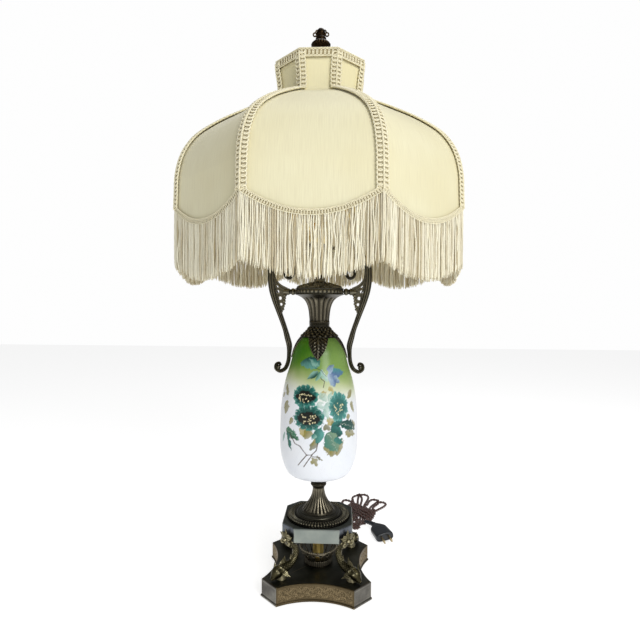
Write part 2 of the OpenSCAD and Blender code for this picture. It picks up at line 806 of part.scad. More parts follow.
felt_pad();
plinth();
cord_bushing();
base_gallery();
base_washer();
spacer_sleeve();
centre_rod();
bottom_washer();
bottom_nut();
dolphin(225);  // dolphin_front_left
dolphin(315);  // dolphin_front_right
dolphin(135);  // dolphin_rear_left
dolphin(45);  // dolphin_rear_right
dolphin_screws();
pedestal();
beaded_ring();
stem_ring();
fluted_stem();
vase_gaskets();
vase();
leaf_collar();
neck();
gallery_cup();
dome_cap();
top_nut();
handle_knuckles();
handle_screws();
handle_left();
handle_right();
riser_pipe();
cluster_body();
top_rod();
shade_seat();
socket_caps();
socket_shells();
switch_bodies();
socket_liners();
screw_shells();
socket_key(-1);  // key_left
socket_key(1);  // key_right
bulb_base(-1);  // bulb_base_left
bulb_base(1);  // bulb_base_right
bulb_glass(-1);  // bulb_glass_left
bulb_glass(1);  // bulb_glass_right
shade_frame();
spider();
shade_silk();
shade_lining();
rim_gimp();
rib_gimp();
hem_gimp();
fringe();
finial();
inner_cord();
cord_lead();
cord_hank();
cord_tail();
plug_body();
plug_blades();
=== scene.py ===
"""Looks of the electrified banquet lamp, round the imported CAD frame.

Shapes are worked out in millimetres and become metres when a piece is made.
+Z is up, and the front of the lamp faces -Y.
"""
import math

import bpy
import numpy as np
from mathutils import Matrix, Vector
from mathutils.geometry import delaunay_2d_cdt


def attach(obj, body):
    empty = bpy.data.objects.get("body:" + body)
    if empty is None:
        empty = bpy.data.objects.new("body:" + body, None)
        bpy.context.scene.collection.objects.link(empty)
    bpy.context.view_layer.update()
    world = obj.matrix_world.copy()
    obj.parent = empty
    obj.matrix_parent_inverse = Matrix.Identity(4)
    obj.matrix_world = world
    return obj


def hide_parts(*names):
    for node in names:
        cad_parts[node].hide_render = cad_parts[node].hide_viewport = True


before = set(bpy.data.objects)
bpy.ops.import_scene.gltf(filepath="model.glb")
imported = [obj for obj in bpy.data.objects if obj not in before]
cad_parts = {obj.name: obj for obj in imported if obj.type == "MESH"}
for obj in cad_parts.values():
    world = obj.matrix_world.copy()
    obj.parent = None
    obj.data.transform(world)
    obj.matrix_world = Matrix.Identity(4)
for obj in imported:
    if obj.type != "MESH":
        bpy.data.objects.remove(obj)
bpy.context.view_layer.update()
MM = 0.001
TURN = 2 * math.pi
random = np.random.default_rng(7)


# ------------------------------------------------------------------ curves
def spline(points, steps):
    """A smooth curve through the points, with so many steps between each two."""
    p = np.array(points, float)
    p = np.vstack((p[:1], p, p[-1:]))
    t = np.linspace(0, 1, steps, endpoint=False)[:, None]
    parts = []
    for a, b, c, d in zip(p[:-3], p[1:-2], p[2:-1], p[3:]):
        curve = 2 * b + (c - a) * t + (2 * a - 5 * b + 4 * c - d) * t**2 + (3 * b - a - 3 * c + d) * t**3
        parts.append(0.5 * curve)
    parts.append(p[-1:])
    return np.vstack(parts)


def distances(points):
    """How far along a line each of its points lies."""
    return np.concatenate(([0], np.cumsum(np.linalg.norm(np.diff(points, axis=0), axis=1))))


def even(points, count):
    """The same line with so many points at equal distances."""
    along = distances(points[:, :3])
    at = np.linspace(0, along[-1], count)
    return np.column_stack([np.interp(at, along, points[:, k]) for k in range(points.shape[1])])


def unit(v):
    """A vector, or each row of vectors, at length 1."""
    return v / np.maximum(np.linalg.norm(v, axis=-1, keepdims=True), 1e-12)


def smooth(t):
    """0 below 0, 1 above 1 and smooth between."""
    t = np.clip(t, 0, 1)
    return t * t * (3 - 2 * t)


def cloud(x, z, size, seed, detail=3):
    """Soft noise from 0 to 1 on a plane, with patches of about the given size."""
    lattice = np.random.default_rng(seed).random((64, 64))
    total = np.zeros(len(x))
    weight = 0
    for octave in range(detail):
        a, b = x / size * 2 ** octave + 17, z / size * 2 ** octave + 5
        i, j = np.floor(a).astype(int), np.floor(b).astype(int)
        s, t = smooth(a - i), smooth(b - j)
        corner = [lattice[(i + m) % 64, (j + n) % 64] for m in (0, 1) for n in (0, 1)]
        near = corner[0] * (1 - t) + corner[1] * t
        far = corner[2] * (1 - t) + corner[3] * t
        total += (near * (1 - s) + far * s) * 0.5 ** octave
        weight += 0.5 ** octave
    return total / weight


def frames(path, side):
    """Along, across and up directions at each point of a path, turning as little as they can."""
    along = unit(np.gradient(path, axis=0))
    across = np.empty_like(along)
    side = np.array(side, float)
    for i, t in enumerate(along):
        side = side - t * side.dot(t)
        side = side / np.linalg.norm(side)
        across[i] = side
    return along, across, np.cross(along, across)


def outwards(profile):
    """Directions square to a turned profile that runs upwards on its outside."""
    t = unit(np.gradient(profile, axis=0))
    return np.column_stack((t[:, 1], -t[:, 0]))


def polar(r, angle, z):
    """Points so far from the lamp's axis, in a direction and at a height."""
    return np.stack(np.broadcast_arrays(r * np.cos(angle), r * np.sin(angle), z), axis=-1)


# ------------------------------------------------------------------ meshes
class Shape:
    """Points, faces and a "place" for each point: two distances and a tone from 0 to 1."""

    def __init__(self):
        self.points = []
        self.places = []
        self.faces = []
        self.count = 0

    def add(self, points, faces, places=(0, 0, 0.5)):
        points = np.asarray(points, float).reshape(-1, 3)
        places = np.broadcast_to(np.asarray(places, float), (len(points), 3))
        self.points.append(points)
        self.places.append(places)
        self.faces += (np.asarray(faces) + self.count).tolist()
        self.count += len(points)

    def grid(self, points, places=(0, 0, 0.5), caps=False):
        """Quads over closed rows of points; caps fill the first and the last row."""
        rows, columns = points.shape[:2]
        r, c = np.meshgrid(np.arange(rows - 1), np.arange(columns), indexing="ij")
        a = (r * columns + c).ravel()
        b = (r * columns + (c + 1) % columns).ravel()
        quads = np.column_stack((a, b, b + columns, a + columns))
        if np.ndim(places) == 3:
            places = places.reshape(-1, 3)
        first = self.count
        self.add(points, quads, places)
        if caps:
            self.faces.append([first + k for k in range(columns - 1, -1, -1)])
            self.faces.append([first + (rows - 1) * columns + k for k in range(columns)])

    def turned(self, profile, columns=96, relief=None, closed=False):
        """A profile of (distance from the axis, height), turned, with relief pushed outwards.

        relief(angle, height) gives two arrays: millimetres outwards, and the tone."""
        profile = np.asarray(profile, float)
        if closed:
            profile = np.vstack((profile, profile[:1]))
        angle = np.linspace(0, TURN, columns, endpoint=False) if np.isscalar(columns) else columns
        grid_angle, height = np.meshgrid(angle, profile[:, 1])
        push = np.zeros_like(height)
        tone = np.full_like(height, 0.5)
        if relief:
            push, tone = relief(grid_angle, height)
        out = outwards(profile)
        r = profile[:, :1] + push * out[:, :1]
        z = height + push * out[:, 1:]
        places = np.dstack((grid_angle * profile[:, :1], height, np.broadcast_to(tone, height.shape)))
        self.grid(polar(r, grid_angle, z), places)

    def tube(self, path, radius, sides=8, side=(0, 1, 0), flat=1.0, turn=0.0, tone=0.5):
        """A round or flattened tube along a path; radius, flat and turn may change along it."""
        path = np.asarray(path, float)
        rows = len(path)
        _, across, up = frames(path, side)
        angle = np.linspace(0, TURN, sides, endpoint=False)[None, :] + np.broadcast_to(turn, rows)[:, None]
        wide = np.broadcast_to(radius, rows)[:, None]
        high = wide * np.broadcast_to(flat, rows)[:, None]
        x = (wide * np.cos(angle))[..., None] * across[:, None, :]
        y = (high * np.sin(angle))[..., None] * up[:, None, :]
        long = np.broadcast_to(distances(path)[:, None], angle.shape)
        tones = np.broadcast_to(np.asarray(tone, float).reshape(-1, 1), angle.shape)
        self.grid(path[:, None, :] + x + y, np.dstack((long, angle, tones)), caps=True)

    def ball(self, centre, radius, columns=16, rows=10, axis=(0, 0, 1), flat=1.0, tone=0.8):
        """A ball, pressed flat along an axis."""
        t = np.linspace(0.02, math.pi - 0.02, rows)
        axis = unit(np.array(axis, float))
        path = np.array(centre) - np.outer(np.cos(t) * radius * flat, axis)
        side = (1, 0, 0) if abs(axis[0]) < 0.9 else (0, 1, 0)
        self.tube(path, radius * np.sin(t), columns, side, tone=tone)


def piece(shape, name, material, body="lamp", stands_for=(), sharp=40):
    """A Blender object of a shape, which rides on a body."""
    mesh = bpy.data.meshes.new(name)
    mesh.from_pydata((np.vstack(shape.points) * MM).tolist(), [], shape.faces)
    place = mesh.attributes.new("place", "FLOAT_VECTOR", "POINT")
    place.data.foreach_set("vector", np.vstack(shape.places).astype(np.float32).ravel())
    mesh.shade_smooth()
    if sharp:
        mesh.set_sharp_from_angle(angle=math.radians(sharp))
    mesh.materials.append(material)
    thing = bpy.data.objects.new(name, mesh)
    bpy.context.scene.collection.objects.link(thing)
    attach(thing, body)
    if stands_for:
        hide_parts(*stands_for)
    return thing


# ------------------------------------------------------------------ camera, lights and floor
CAMERA_DISTANCE = 0.7147
CAMERA_HEIGHT = 0.4031
CAMERA_SIDE = 0.004
CAMERA_LENS = 27.58
CAMERA_SHIFT = -0.0034
CAMERA_PITCH = -0.0296
CAMERA_ROLL = 0.0056
CAMERA_AZIMUTH = math.radians(2.6)


def make_camera():
    """A camera that stands in front of the lamp, looking a little down."""
    data = bpy.data.cameras.new("camera")
    data.lens = CAMERA_LENS
    data.sensor_width = 36
    data.shift_x = CAMERA_SHIFT
    right = Vector((1, 0, 0))
    up = Vector((0, -math.sin(CAMERA_PITCH), math.cos(CAMERA_PITCH)))
    across = math.cos(CAMERA_ROLL) * right + math.sin(CAMERA_ROLL) * up
    top = math.cos(CAMERA_ROLL) * up - math.sin(CAMERA_ROLL) * right
    axes = Matrix((across, top, across.cross(top))).transposed().to_4x4()
    stand = Matrix.Translation((CAMERA_SIDE, -CAMERA_DISTANCE, CAMERA_HEIGHT))
    camera = bpy.data.objects.new("camera", data)
    camera.matrix_world = Matrix.Rotation(CAMERA_AZIMUTH, 4, "Z") @ stand @ axes
    bpy.context.scene.collection.objects.link(camera)
    bpy.context.scene.camera = camera


def make_light(name, spot, size, watts):
    """A square soft light that looks at the middle of the lamp."""
    data = bpy.data.lights.new(name, "AREA")
    data.size = size
    data.energy = watts
    light = bpy.data.objects.new(name, data)
    light.location = spot
    light.rotation_euler = (Vector(spot) - Vector((0, 0, 0.4))).to_track_quat("Z", "Y").to_euler()
    bpy.context.scene.collection.objects.link(light)


def make_studio():
    """A pale glowing floor, a pale sky and soft lights: front right, above and a faint one front left."""
    mesh = bpy.data.meshes.new("floor")
    reach = 4
    mesh.from_pydata([(-reach, -reach, 0), (reach, -reach, 0), (reach, reach, 0), (-reach, reach, 0)],
                     [], [(0, 1, 2, 3)])
    floor = bpy.data.objects.new("floor", mesh)
    bpy.context.scene.collection.objects.link(floor)
    paint = bpy.data.materials.new("floor")
    paint.use_nodes = True
    surface = paint.node_tree.nodes["Principled BSDF"].inputs
    surface["Base Color"].default_value = (0.6, 0.6, 0.6, 1)
    surface["Emission Color"].default_value = (1, 1, 1, 1)
    surface["Emission Strength"].default_value = 0.78
    surface["Roughness"].default_value = 0.9
    mesh.materials.append(paint)
    make_sky(0.2, 0.99)
    make_light("key", (0.8, -1.4, 1.25), 0.8, 18)
    make_light("fill", (-1.4, -1.2, 0.7), 1.2, 0.5)
    make_light("top", (0.3, 0.2, 2.0), 1.0, 9)
    bpy.context.scene.view_settings.view_transform = "Standard"


def make_sky(lights, shows):
    """A white sky that lights the lamp softly and shows nearly white behind it."""
    world = bpy.data.worlds.new("sky")
    world.use_nodes = True
    nodes, links = world.node_tree.nodes, world.node_tree.links
    soft = nodes["Background"]
    seen = nodes.new("ShaderNodeBackground")
    which = nodes.new("ShaderNodeLightPath")
    both = nodes.new("ShaderNodeMixShader")
    for node, strength in ((soft, lights), (seen, shows)):
        node.inputs["Color"].default_value = (1, 1, 1, 1)
        node.inputs["Strength"].default_value = strength
    links.new(which.outputs["Is Camera Ray"], both.inputs[0])
    links.new(soft.outputs[0], both.inputs[1])
    links.new(seen.outputs[0], both.inputs[2])
    links.new(both.outputs[0], nodes["World Output"].inputs["Surface"])
    bpy.context.scene.world = world


make_camera()
make_studio()


# ------------------------------------------------------------------ materials
class Field:
    """A number at each point of a surface, which shader nodes work out."""

    def __init__(self, paint, socket):
        self.paint = paint
        self.socket = socket

    def __add__(self, other):
        return self.paint.math("ADD", self, other)

    def __radd__(self, other):
        return self.paint.math("ADD", other, self)

    def __sub__(self, other):
        return self.paint.math("SUBTRACT", self, other)

    def __mul__(self, other):
        return self.paint.math("MULTIPLY", self, other)

    def __rmul__(self, other):
        return self.paint.math("MULTIPLY", other, self)

    def __truediv__(self, other):
        return self.paint.math("DIVIDE", self, other)

    def sin(self):
        return self.paint.math("SINE", self)

    def over(self, low, high):
        """0 below low, 1 above high and smooth between; high below low turns it round."""
        return self.paint.ramp(self, low, high)


class Paint:
    """A material with one Principled shader, and short ways to build its nodes."""

    def __init__(self, name, **values):
        self.material = bpy.data.materials.new(name)
        self.material.use_nodes = True
        self.nodes = self.material.node_tree.nodes
        self.links = self.material.node_tree.links
        self.shader = self.nodes["Principled BSDF"]
        for socket, value in values.items():
            self.shader.inputs[socket.replace("_", " ")].default_value = value

    def plug(self, socket, value):
        if isinstance(value, Field):
            self.links.new(value.socket, socket)
        else:
            socket.default_value = value

    def math(self, operation, a, b=None):
        node = self.nodes.new("ShaderNodeMath")
        node.operation = operation
        self.plug(node.inputs[0], a)
        if b is not None:
            self.plug(node.inputs[1], b)
        return Field(self, node.outputs[0])

    def ramp(self, value, low, high):
        node = self.nodes.new("ShaderNodeMapRange")
        node.interpolation_type = "SMOOTHSTEP"
        start, end = (0, 1) if high > low else (1, 0)
        self.plug(node.inputs["Value"], value)
        node.inputs["From Min"].default_value = min(low, high)
        node.inputs["From Max"].default_value = max(low, high)
        node.inputs["To Min"].default_value = start
        node.inputs["To Max"].default_value = end
        return Field(self, node.outputs["Result"])

    def kept(self, name, output):
        """A number, vector or colour that is kept with each point."""
        node = self.nodes.new("ShaderNodeAttribute")
        node.attribute_name = name
        return Field(self, node.outputs[output])

    def place(self):
        """The three numbers of a point's "place"."""
        node = self.nodes.new("ShaderNodeSeparateXYZ")
        self.plug(node.inputs[0], self.kept("place", "Vector"))
        return [Field(self, node.outputs[k]) for k in range(3)]

    def join(self, x, y):
        node = self.nodes.new("ShaderNodeCombineXYZ")
        self.plug(node.inputs[0], x)
        self.plug(node.inputs[1], y)
        return Field(self, node.outputs[0])

    def noise(self, scale, where=None, detail=3.0, stretch=None):
        """Cloudy noise from 0 to 1; scale is in patches to the metre, or to the millimetre of where."""
        vector = where or Field(self, self.nodes.new("ShaderNodeTexCoord").outputs["Object"])
        if stretch:
            node = self.nodes.new("ShaderNodeVectorMath")
            node.operation = "MULTIPLY"
            self.plug(node.inputs[0], vector)
            node.inputs[1].default_value = stretch
            vector = Field(self, node.outputs[0])
        node = self.nodes.new("ShaderNodeTexNoise")
        self.plug(node.inputs["Vector"], vector)
        node.inputs["Scale"].default_value = scale
        node.inputs["Detail"].default_value = detail
        return Field(self, node.outputs["Fac"])

    def edges(self):
        """How far an edge sticks out, about 0.5 on a flat face."""
        return Field(self, self.nodes.new("ShaderNodeNewGeometry").outputs["Pointiness"])

    def corners(self, reach):
        """1 in the open and 0 deep in a corner."""
        node = self.nodes.new("ShaderNodeAmbientOcclusion")
        node.inputs["Distance"].default_value = reach
        node.samples = 6
        return Field(self, node.outputs["AO"])

    def mix(self, amount, low, high):
        """One colour turning into another."""
        node = self.nodes.new("ShaderNodeMix")
        node.data_type = "RGBA"
        self.plug(node.inputs["Factor"], amount)
        for socket, value in ((node.inputs[6], low), (node.inputs[7], high)):
            self.plug(socket, value if isinstance(value, Field) else (*value, 1))
        return Field(self, node.outputs[2])

    def colour(self, field):
        self.plug(self.shader.inputs["Base Color"], field)

    def rough(self, value, low, high):
        """Roughness that follows a field from 0 to 1."""
        self.plug(self.shader.inputs["Roughness"], low + (high - low) * value)

    def bump(self, height, depth):
        """Fine relief: height is from 0 to 1, and depth is in metres."""
        node = self.nodes.new("ShaderNodeBump")
        node.inputs["Distance"].default_value = depth
        self.links.new(height.socket, node.inputs["Height"])
        self.links.new(node.outputs["Normal"], self.shader.inputs["Normal"])


def antique(name, deep, flat, worn, wear=0.5, relief=True):
    """Cast brass with a dark patina: deep in hollows, flat on faces and worn on edges."""
    p = Paint(name, Metallic=1.0)
    cloud = p.noise(45, detail=4)
    speck = p.noise(900, detail=2)
    tone = p.place()[2] if relief else 0.15 + 0.35 * p.corners(0.004)
    height = tone + 0.35 * (cloud - 0.5) + 0.2 * (speck - 0.5)
    edge = p.edges().over(0.515, 0.57)
    base = p.mix(height.over(0.12, 0.5), deep, flat)
    shown = p.math("MAXIMUM", height.over(0.62, 1.0), edge * wear)
    p.colour(p.mix(shown * (0.55 + 0.6 * cloud), base, worn))
    p.rough(0.55 * cloud + 0.45 * speck, 0.26, 0.45)
    p.bump(0.6 * speck + 0.4 * cloud, 0.00006)
    return p.material


def plain_metal(name, base, shade, rough, turned=False):
    """Metal sheet or turned rod with soft stains and fine tool marks."""
    p = Paint(name, Metallic=1.0)
    stretch = (1, 1, 14) if turned else None
    stain = p.noise(60, detail=4)
    mark = p.noise(260, detail=2, stretch=stretch)
    p.colour(p.mix(stain.over(0.3, 0.7), shade, base))
    p.rough(0.5 * stain + 0.5 * mark, *rough)
    p.bump(mark, 0.00002)
    return p.material


def plain_solid(name, base, shade, rough, depth=0.00003, **values):
    """Rubber, fibre, porcelain or lacquer with a little colour change and grain."""
    p = Paint(name, **values)
    cloud = p.noise(120, detail=3)
    fine = p.noise(1400, detail=2)
    p.colour(p.mix(cloud.over(0.3, 0.7), shade, base))
    p.rough(0.5 * cloud + 0.5 * fine, *rough)
    p.bump(fine, depth)
    return p.material


BRONZE_TONES = ((0.012, 0.011, 0.008), (0.075, 0.071, 0.054), (0.3, 0.27, 0.19))
BRONZE = antique("olive_bronze", *BRONZE_TONES)
PLAIN_BRONZE = antique("olive_bronze_plain", *BRONZE_TONES, relief=False)
BRASS = antique("antique_brass", (0.008, 0.007, 0.004), (0.07, 0.062, 0.044), (0.36, 0.32, 0.23))
GILT = antique("rubbed_brass", (0.012, 0.010, 0.005), (0.085, 0.075, 0.038), (0.5, 0.45, 0.28), wear=0.7)
FINIAL_BRASS = antique("finial_brass", (0.005, 0.003, 0.001), (0.02, 0.012, 0.006), (0.17, 0.11, 0.05),
                       wear=0.25)
SLEEVE = plain_metal("bright_brass", (0.86, 0.66, 0.22), (0.7, 0.5, 0.15), (0.3, 0.4), turned=True)
BLADES = plain_metal("blade_brass", (0.5, 0.4, 0.22), (0.36, 0.28, 0.15), (0.28, 0.42))
PIPE = plain_metal("dark_pipe", (0.05, 0.035, 0.02), (0.02, 0.014, 0.01), (0.3, 0.45), turned=True)
COPPER = plain_metal("copper", (0.3, 0.1, 0.06), (0.12, 0.04, 0.03), (0.35, 0.5))
STEEL = plain_metal("steel", (0.42, 0.4, 0.36), (0.26, 0.24, 0.2), (0.3, 0.45))
TIN = plain_metal("bulb_metal", (0.68, 0.66, 0.6), (0.5, 0.48, 0.42), (0.2, 0.35))
LACQUER = plain_solid("frame_wire", (0.72, 0.7, 0.62), (0.58, 0.55, 0.46), (0.35, 0.5))
RUBBER = plain_solid("dark_rubber", (0.05, 0.035, 0.028), (0.028, 0.02, 0.016), (0.55, 0.75))
PORCELAIN = plain_solid("porcelain", (0.86, 0.84, 0.78), (0.78, 0.75, 0.68), (0.25, 0.4))
FIBRE = plain_solid("fibre", (0.24, 0.15, 0.09), (0.16, 0.1, 0.06), (0.6, 0.8), depth=0.00008)
FELT = plain_solid("felt", (0.06, 0.09, 0.06), (0.03, 0.05, 0.035), (0.9, 1.0), depth=0.0003)
BULB = plain_solid("bulb_glass", (0.93, 0.92, 0.88), (0.9, 0.89, 0.85), (0.12, 0.2), depth=0.00001,
                   Coat_Weight=0.3)


def finish_nodes(material, *nodes):
    """Give carried-over CAD nodes their material."""
    for node in nodes:
        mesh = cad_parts[node].data
        mesh.materials.clear()
        mesh.materials.append(material)


# The radius of the cast parts' bore for the centre rod
BORE = 5.2


# ------------------------------------------------------------------ cord
CORD = 5.0
LEAD_ROUTE = [
    (0, 80, 12), (0, 86, 11.9), (0, 92, 11), (0.5, 102, 7.5), (3, 112, 4), (8.5, 121, 2.6),
    (17, 128.5, 2.5), (28, 134, 2.5), (39, 140.4, 3.2), (48.3, 149.4, 5),
]
NECK_ROUTE = [
    (77.1, 176.2, 8), (83.3, 172, 8), (89.5, 167.2, 8), (94.8, 161.5, 8), (97.1, 153.6, 8),
]
# How often the cord's path is settled
ROUNDS = 220
# The pair: each wire's radius, its distance from the middle and the length of a full twist
WIRE = 1.3
WIRE_OFF = 1.22
TWIST = 13
# The plug's blades: their distance apart, and how far out their holes and ends are
BLADE_SPACING = 12.7
BLADE_HOLE = 59
BLADE_END = 64
HANK_START = np.array((52.8, 159.6))
HANK_ALONG = unit(np.array((17.5, 76.8)))
HANK_ACROSS = np.array((HANK_ALONG[1], -HANK_ALONG[0]))
HANK_WAIST = 72
# Each loop of the hank: angle in the fan, reach from the waist, where its two legs pass the
# waist, and its height at the waist and at its far end
HANK_LOOPS = [
    (-24, 56, -21, -12, 9, 10),
    (-5, 90, -5, 5, 9, 8),
    (20, 64, 21, 12, 9, 8),
    (-8, 82, -14, -4, 16, 17),
    (8, 70, 5, 15, 16, 20),
]
FOLD = 10.5
WRAP_TURNS = 6.25
WRAP_WIDE = 27
WRAP_HIGH = 12


def in_hank(along, across, height):
    """A point of the hank, from its near end, to the right of its middle, and above the table."""
    x, y = HANK_START + HANK_ALONG * along + HANK_ACROSS * across
    return (x, y, height)


def hank_points():
    """The folded runs, the folds between them and the turns round the waist."""
    points = [in_hank(6, -11, 3), in_hank(26, -17, 4)]
    for number, (fan, reach, leg_in, leg_out, low, far_low) in enumerate(HANK_LOOPS):
        fan = math.radians(fan)
        side = 1 if leg_in > leg_out else -1
        middle = (leg_in + leg_out) / 2
        points += [in_hank(HANK_WAIST - 20, leg_in * 0.9, low), in_hank(HANK_WAIST, leg_in, low)]
        for step in (-2, 0, 1, 2, 3, 4, 6):
            turn = math.pi * np.clip(step / 4, 0, 1)
            back = 18 * max(-step / 2, step / 2 - 2, 0)
            out = reach - FOLD - back + FOLD * math.sin(turn)
            aside = side * FOLD * math.cos(turn)
            along = HANK_WAIST + out * math.cos(fan) - aside * math.sin(fan)
            across = middle + out * math.sin(fan) + aside * math.cos(fan)
            points.append(in_hank(along, across, far_low + (low - far_low) * back / 30))
        if number == len(HANK_LOOPS) - 1:
            break
        points += [in_hank(HANK_WAIST, leg_out, low), in_hank(HANK_WAIST - 20, leg_out * 0.9, low)]
        side = 1 if leg_out > HANK_LOOPS[number + 1][2] else -1
        low = 4 + 5.2 * number
        for step in range(-1, 6):
            turn = math.pi * np.clip(step / 4, 0, 1)
            back = 14 * max(-step, step - 4, 0)
            along = 9 - FOLD * math.sin(turn) + back
            points.append(in_hank(along, side * FOLD * math.cos(turn), low))
    points.append(in_hank(HANK_WAIST + 30, 20, 16))
    for turn in np.arange(0, WRAP_TURNS - 0.49, 1 / 12):
        angle = TURN * turn
        across = WRAP_WIDE * math.cos(angle)
        centre = HANK_WAIST + 17 - 7.2 * turn
        points.append(in_hank(centre - 0.55 * across, across, WRAP_HIGH + 2.6 + WRAP_HIGH * math.sin(angle)))
    points += [in_hank(34, -4, 2.6), in_hank(29, 6, 3.2), (71.5, 180.3, 6)]
    return points


def settle(path, fixed, rounds):
    """Push turns of the cord off each other, keep its length and let it down onto the table."""
    path = path.copy()
    start = path[fixed].copy()
    rest = np.linalg.norm(np.diff(path, axis=0), axis=1)
    number = np.arange(len(path))
    apart = np.abs(number[:, None] - number[None]) > 3
    for _ in range(rounds):
        gap = path[:, None] - path[None]
        far = np.linalg.norm(gap, axis=2) + 1e-6
        press = np.where(apart & (far < CORD), (CORD - far) / far, 0)
        weight = np.maximum(np.count_nonzero(press, axis=1), 1)[:, None]
        path += 0.6 * (press[..., None] * gap).sum(axis=1) / weight
        path[1:-1] += 0.12 * ((path[:-2] + path[2:]) / 2 - path[1:-1])
        path[:, 2] -= 0.12
        for _ in range(6):
            step = np.diff(path, axis=0)
            long = np.linalg.norm(step, axis=1)
            shift = 0.45 * ((long - rest) / long)[:, None] * step
            path[:-1] += shift
            path[1:] -= shift
            path[:, 2] = np.maximum(path[:, 2], CORD / 2 + 0.1)
            path[fixed] = start
    return path


def cord_paint():
    """Brown cotton braid over each wire of the pair."""
    p = Paint("cord", Sheen_Weight=0.35, Sheen_Roughness=0.5)
    long, angle, _ = p.place()
    weave = (long * 3.4 + angle * 2).sin() * (long * 3.4 - angle * 2).sin()
    cloud = p.noise(70, detail=4)
    dark = p.mix(cloud, (0.02, 0.007, 0.005), (0.06, 0.022, 0.015))
    p.colour(p.mix(weave.over(-0.5, 0.9) * 0.6, dark, (0.17, 0.07, 0.05)))
    p.rough(cloud, 0.6, 0.85)
    p.bump(weave * 0.5 + 0.5, 0.0002)
    return p.material


def plug_paint():
    """Blue-black moulded rubber, paler on its edges."""
    p = Paint("plug", Coat_Weight=0.25, Coat_Roughness=0.3)
    cloud = p.noise(140, detail=3)
    fine = p.noise(2600, detail=2)
    edge = p.edges().over(0.52, 0.6)
    p.colour(p.mix(edge * 0.5 + 0.25 * cloud, (0.006, 0.009, 0.013), (0.035, 0.05, 0.065)))
    p.rough(cloud, 0.28, 0.5)
    p.bump(fine, 0.00003)
    return p.material


def make_plug():
    """Moulded plug, its ringed neck and its two blades."""
    paint = plug_paint()
    shape = Shape()
    neck = even(spline(NECK_ROUTE, 8), 60)
    grow = np.linspace(0, 1, 60)
    rings = 0.35 * (np.sin(grow * TURN * 7) > 0.2) * (grow < 0.75)
    shape.tube(neck, 2.9 + 1.7 * smooth(grow) + rings, 20, (0, 0, 1))
    roll, turn = math.radians(8), math.radians(16.6)
    stand = Matrix.Translation((94.7, 162.5, 8)) @ Matrix.Rotation(turn, 4, "Z")
    stand = stand @ Matrix.Rotation(math.pi / 2, 4, "X") @ Matrix.Rotation(roll, 4, "Z")
    stand = np.array(stand)

    def placed(points):
        return points @ stand[:3, :3].T + stand[:3, 3]

    sections = spline([
        (-1, 3.6, 3.6), (2, 5, 4.6), (6, 8, 5.2), (10, 11.6, 5.6), (14, 13.8, 5.9), (18, 14.7, 6.2),
        (28, 15.1, 6.6), (40, 15.5, 6.9), (45.6, 15.6, 6.9), (47.4, 15.2, 6.5), (48, 14.3, 5.7),
    ], 5)
    rows = [*sections, (48, 13.4, 4.9), (47.3, 12.9, 4.4), (47.2, 6, 2)]
    angle = np.linspace(0, TURN, 64, endpoint=False)
    grid = []
    for z, wide, high in rows:
        grip = 0.35 * max(0, math.sin(z * TURN / 3.4)) if 20 < z < 36 else 0
        x = wide * np.sign(np.cos(angle)) * np.abs(np.cos(angle)) ** 0.62
        y = high * np.sign(np.sin(angle)) * np.abs(np.sin(angle)) ** 0.62
        y -= np.sign(y) * grip * np.clip(1.2 - np.abs(x) / 9, 0, 1)
        grid.append(np.column_stack((x, y, np.full(64, z))))
    shape.grid(placed(np.array(grid)), caps=True)
    body = piece(shape, "plug_body_moulded", paint, stands_for=["plug_body"])

    blades = Shape()
    for side in (-1, 1):
        c, s = np.cos(angle), np.sin(angle)
        hole = np.column_stack((BLADE_HOLE + 1.6 * c, 1.6 * s))
        reach = np.where(c > 0, 5.2, 11.5) / np.maximum(np.abs(c), 1e-6)
        reach = np.minimum(reach, 3.2 / np.maximum(np.abs(s), 1e-6))
        edge = np.column_stack((BLADE_HOLE + reach * c, reach * s))
        edge[:, 0] = np.minimum(edge[:, 0], BLADE_END - 0.45 * np.maximum(np.abs(edge[:, 1]) - 2, 0) ** 2)
        layers = []
        for outline, off, shrink in ((hole, 0.6, 1), (hole, 0.75, 1.08), (edge, 0.75, 0.97),
                                     (edge, 0.5, 1), (edge, -0.5, 1), (edge, -0.75, 0.97),
                                     (hole, -0.75, 1.08), (hole, -0.6, 1), (hole, 0.6, 1)):
            flat = (outline - (BLADE_HOLE, 0)) * shrink + (BLADE_HOLE, 0)
            x = side * BLADE_SPACING / 2 + off
            layers.append(np.column_stack((np.full(64, x), flat[:, 1], flat[:, 0])))
        blades.grid(placed(np.array(layers)))
    pair = piece(blades, "plug_blades_brass", BLADES, stands_for=["plug_blades"])
    return body, pair


def make_cord():
    """The twisted pair: out of the plinth, into the tied hank and on to the plug."""
    points = LEAD_ROUTE + hank_points() + [(74.6, 178, 7.6)] + NECK_ROUTE[:3]
    route = spline(points, 6)
    route = even(route, int(distances(route)[-1] / 4))
    held = (route[:, 1] < 145) | (distances(route) > distances(route)[-1] - 18)
    route = settle(route, np.flatnonzero(held), ROUNDS)
    route = spline(route, 3)
    path = even(route, int(distances(route)[-1] / 1.7))
    shape = Shape()
    _, across, up = frames(path, (0, 0, 1))
    twist = distances(path)[:, None] * TURN / TWIST
    for half in (0, math.pi):
        lean = across * np.cos(twist + half) + up * np.sin(twist + half)
        shape.tube(path + WIRE_OFF * lean, WIRE, 8, (0, 0, 1))
    cord = piece(shape, "cord_twisted", cord_paint(), sharp=0,
                 stands_for=["cord_lead", "cord_hank", "cord_tail"])
    plug = make_plug()


make_cord()


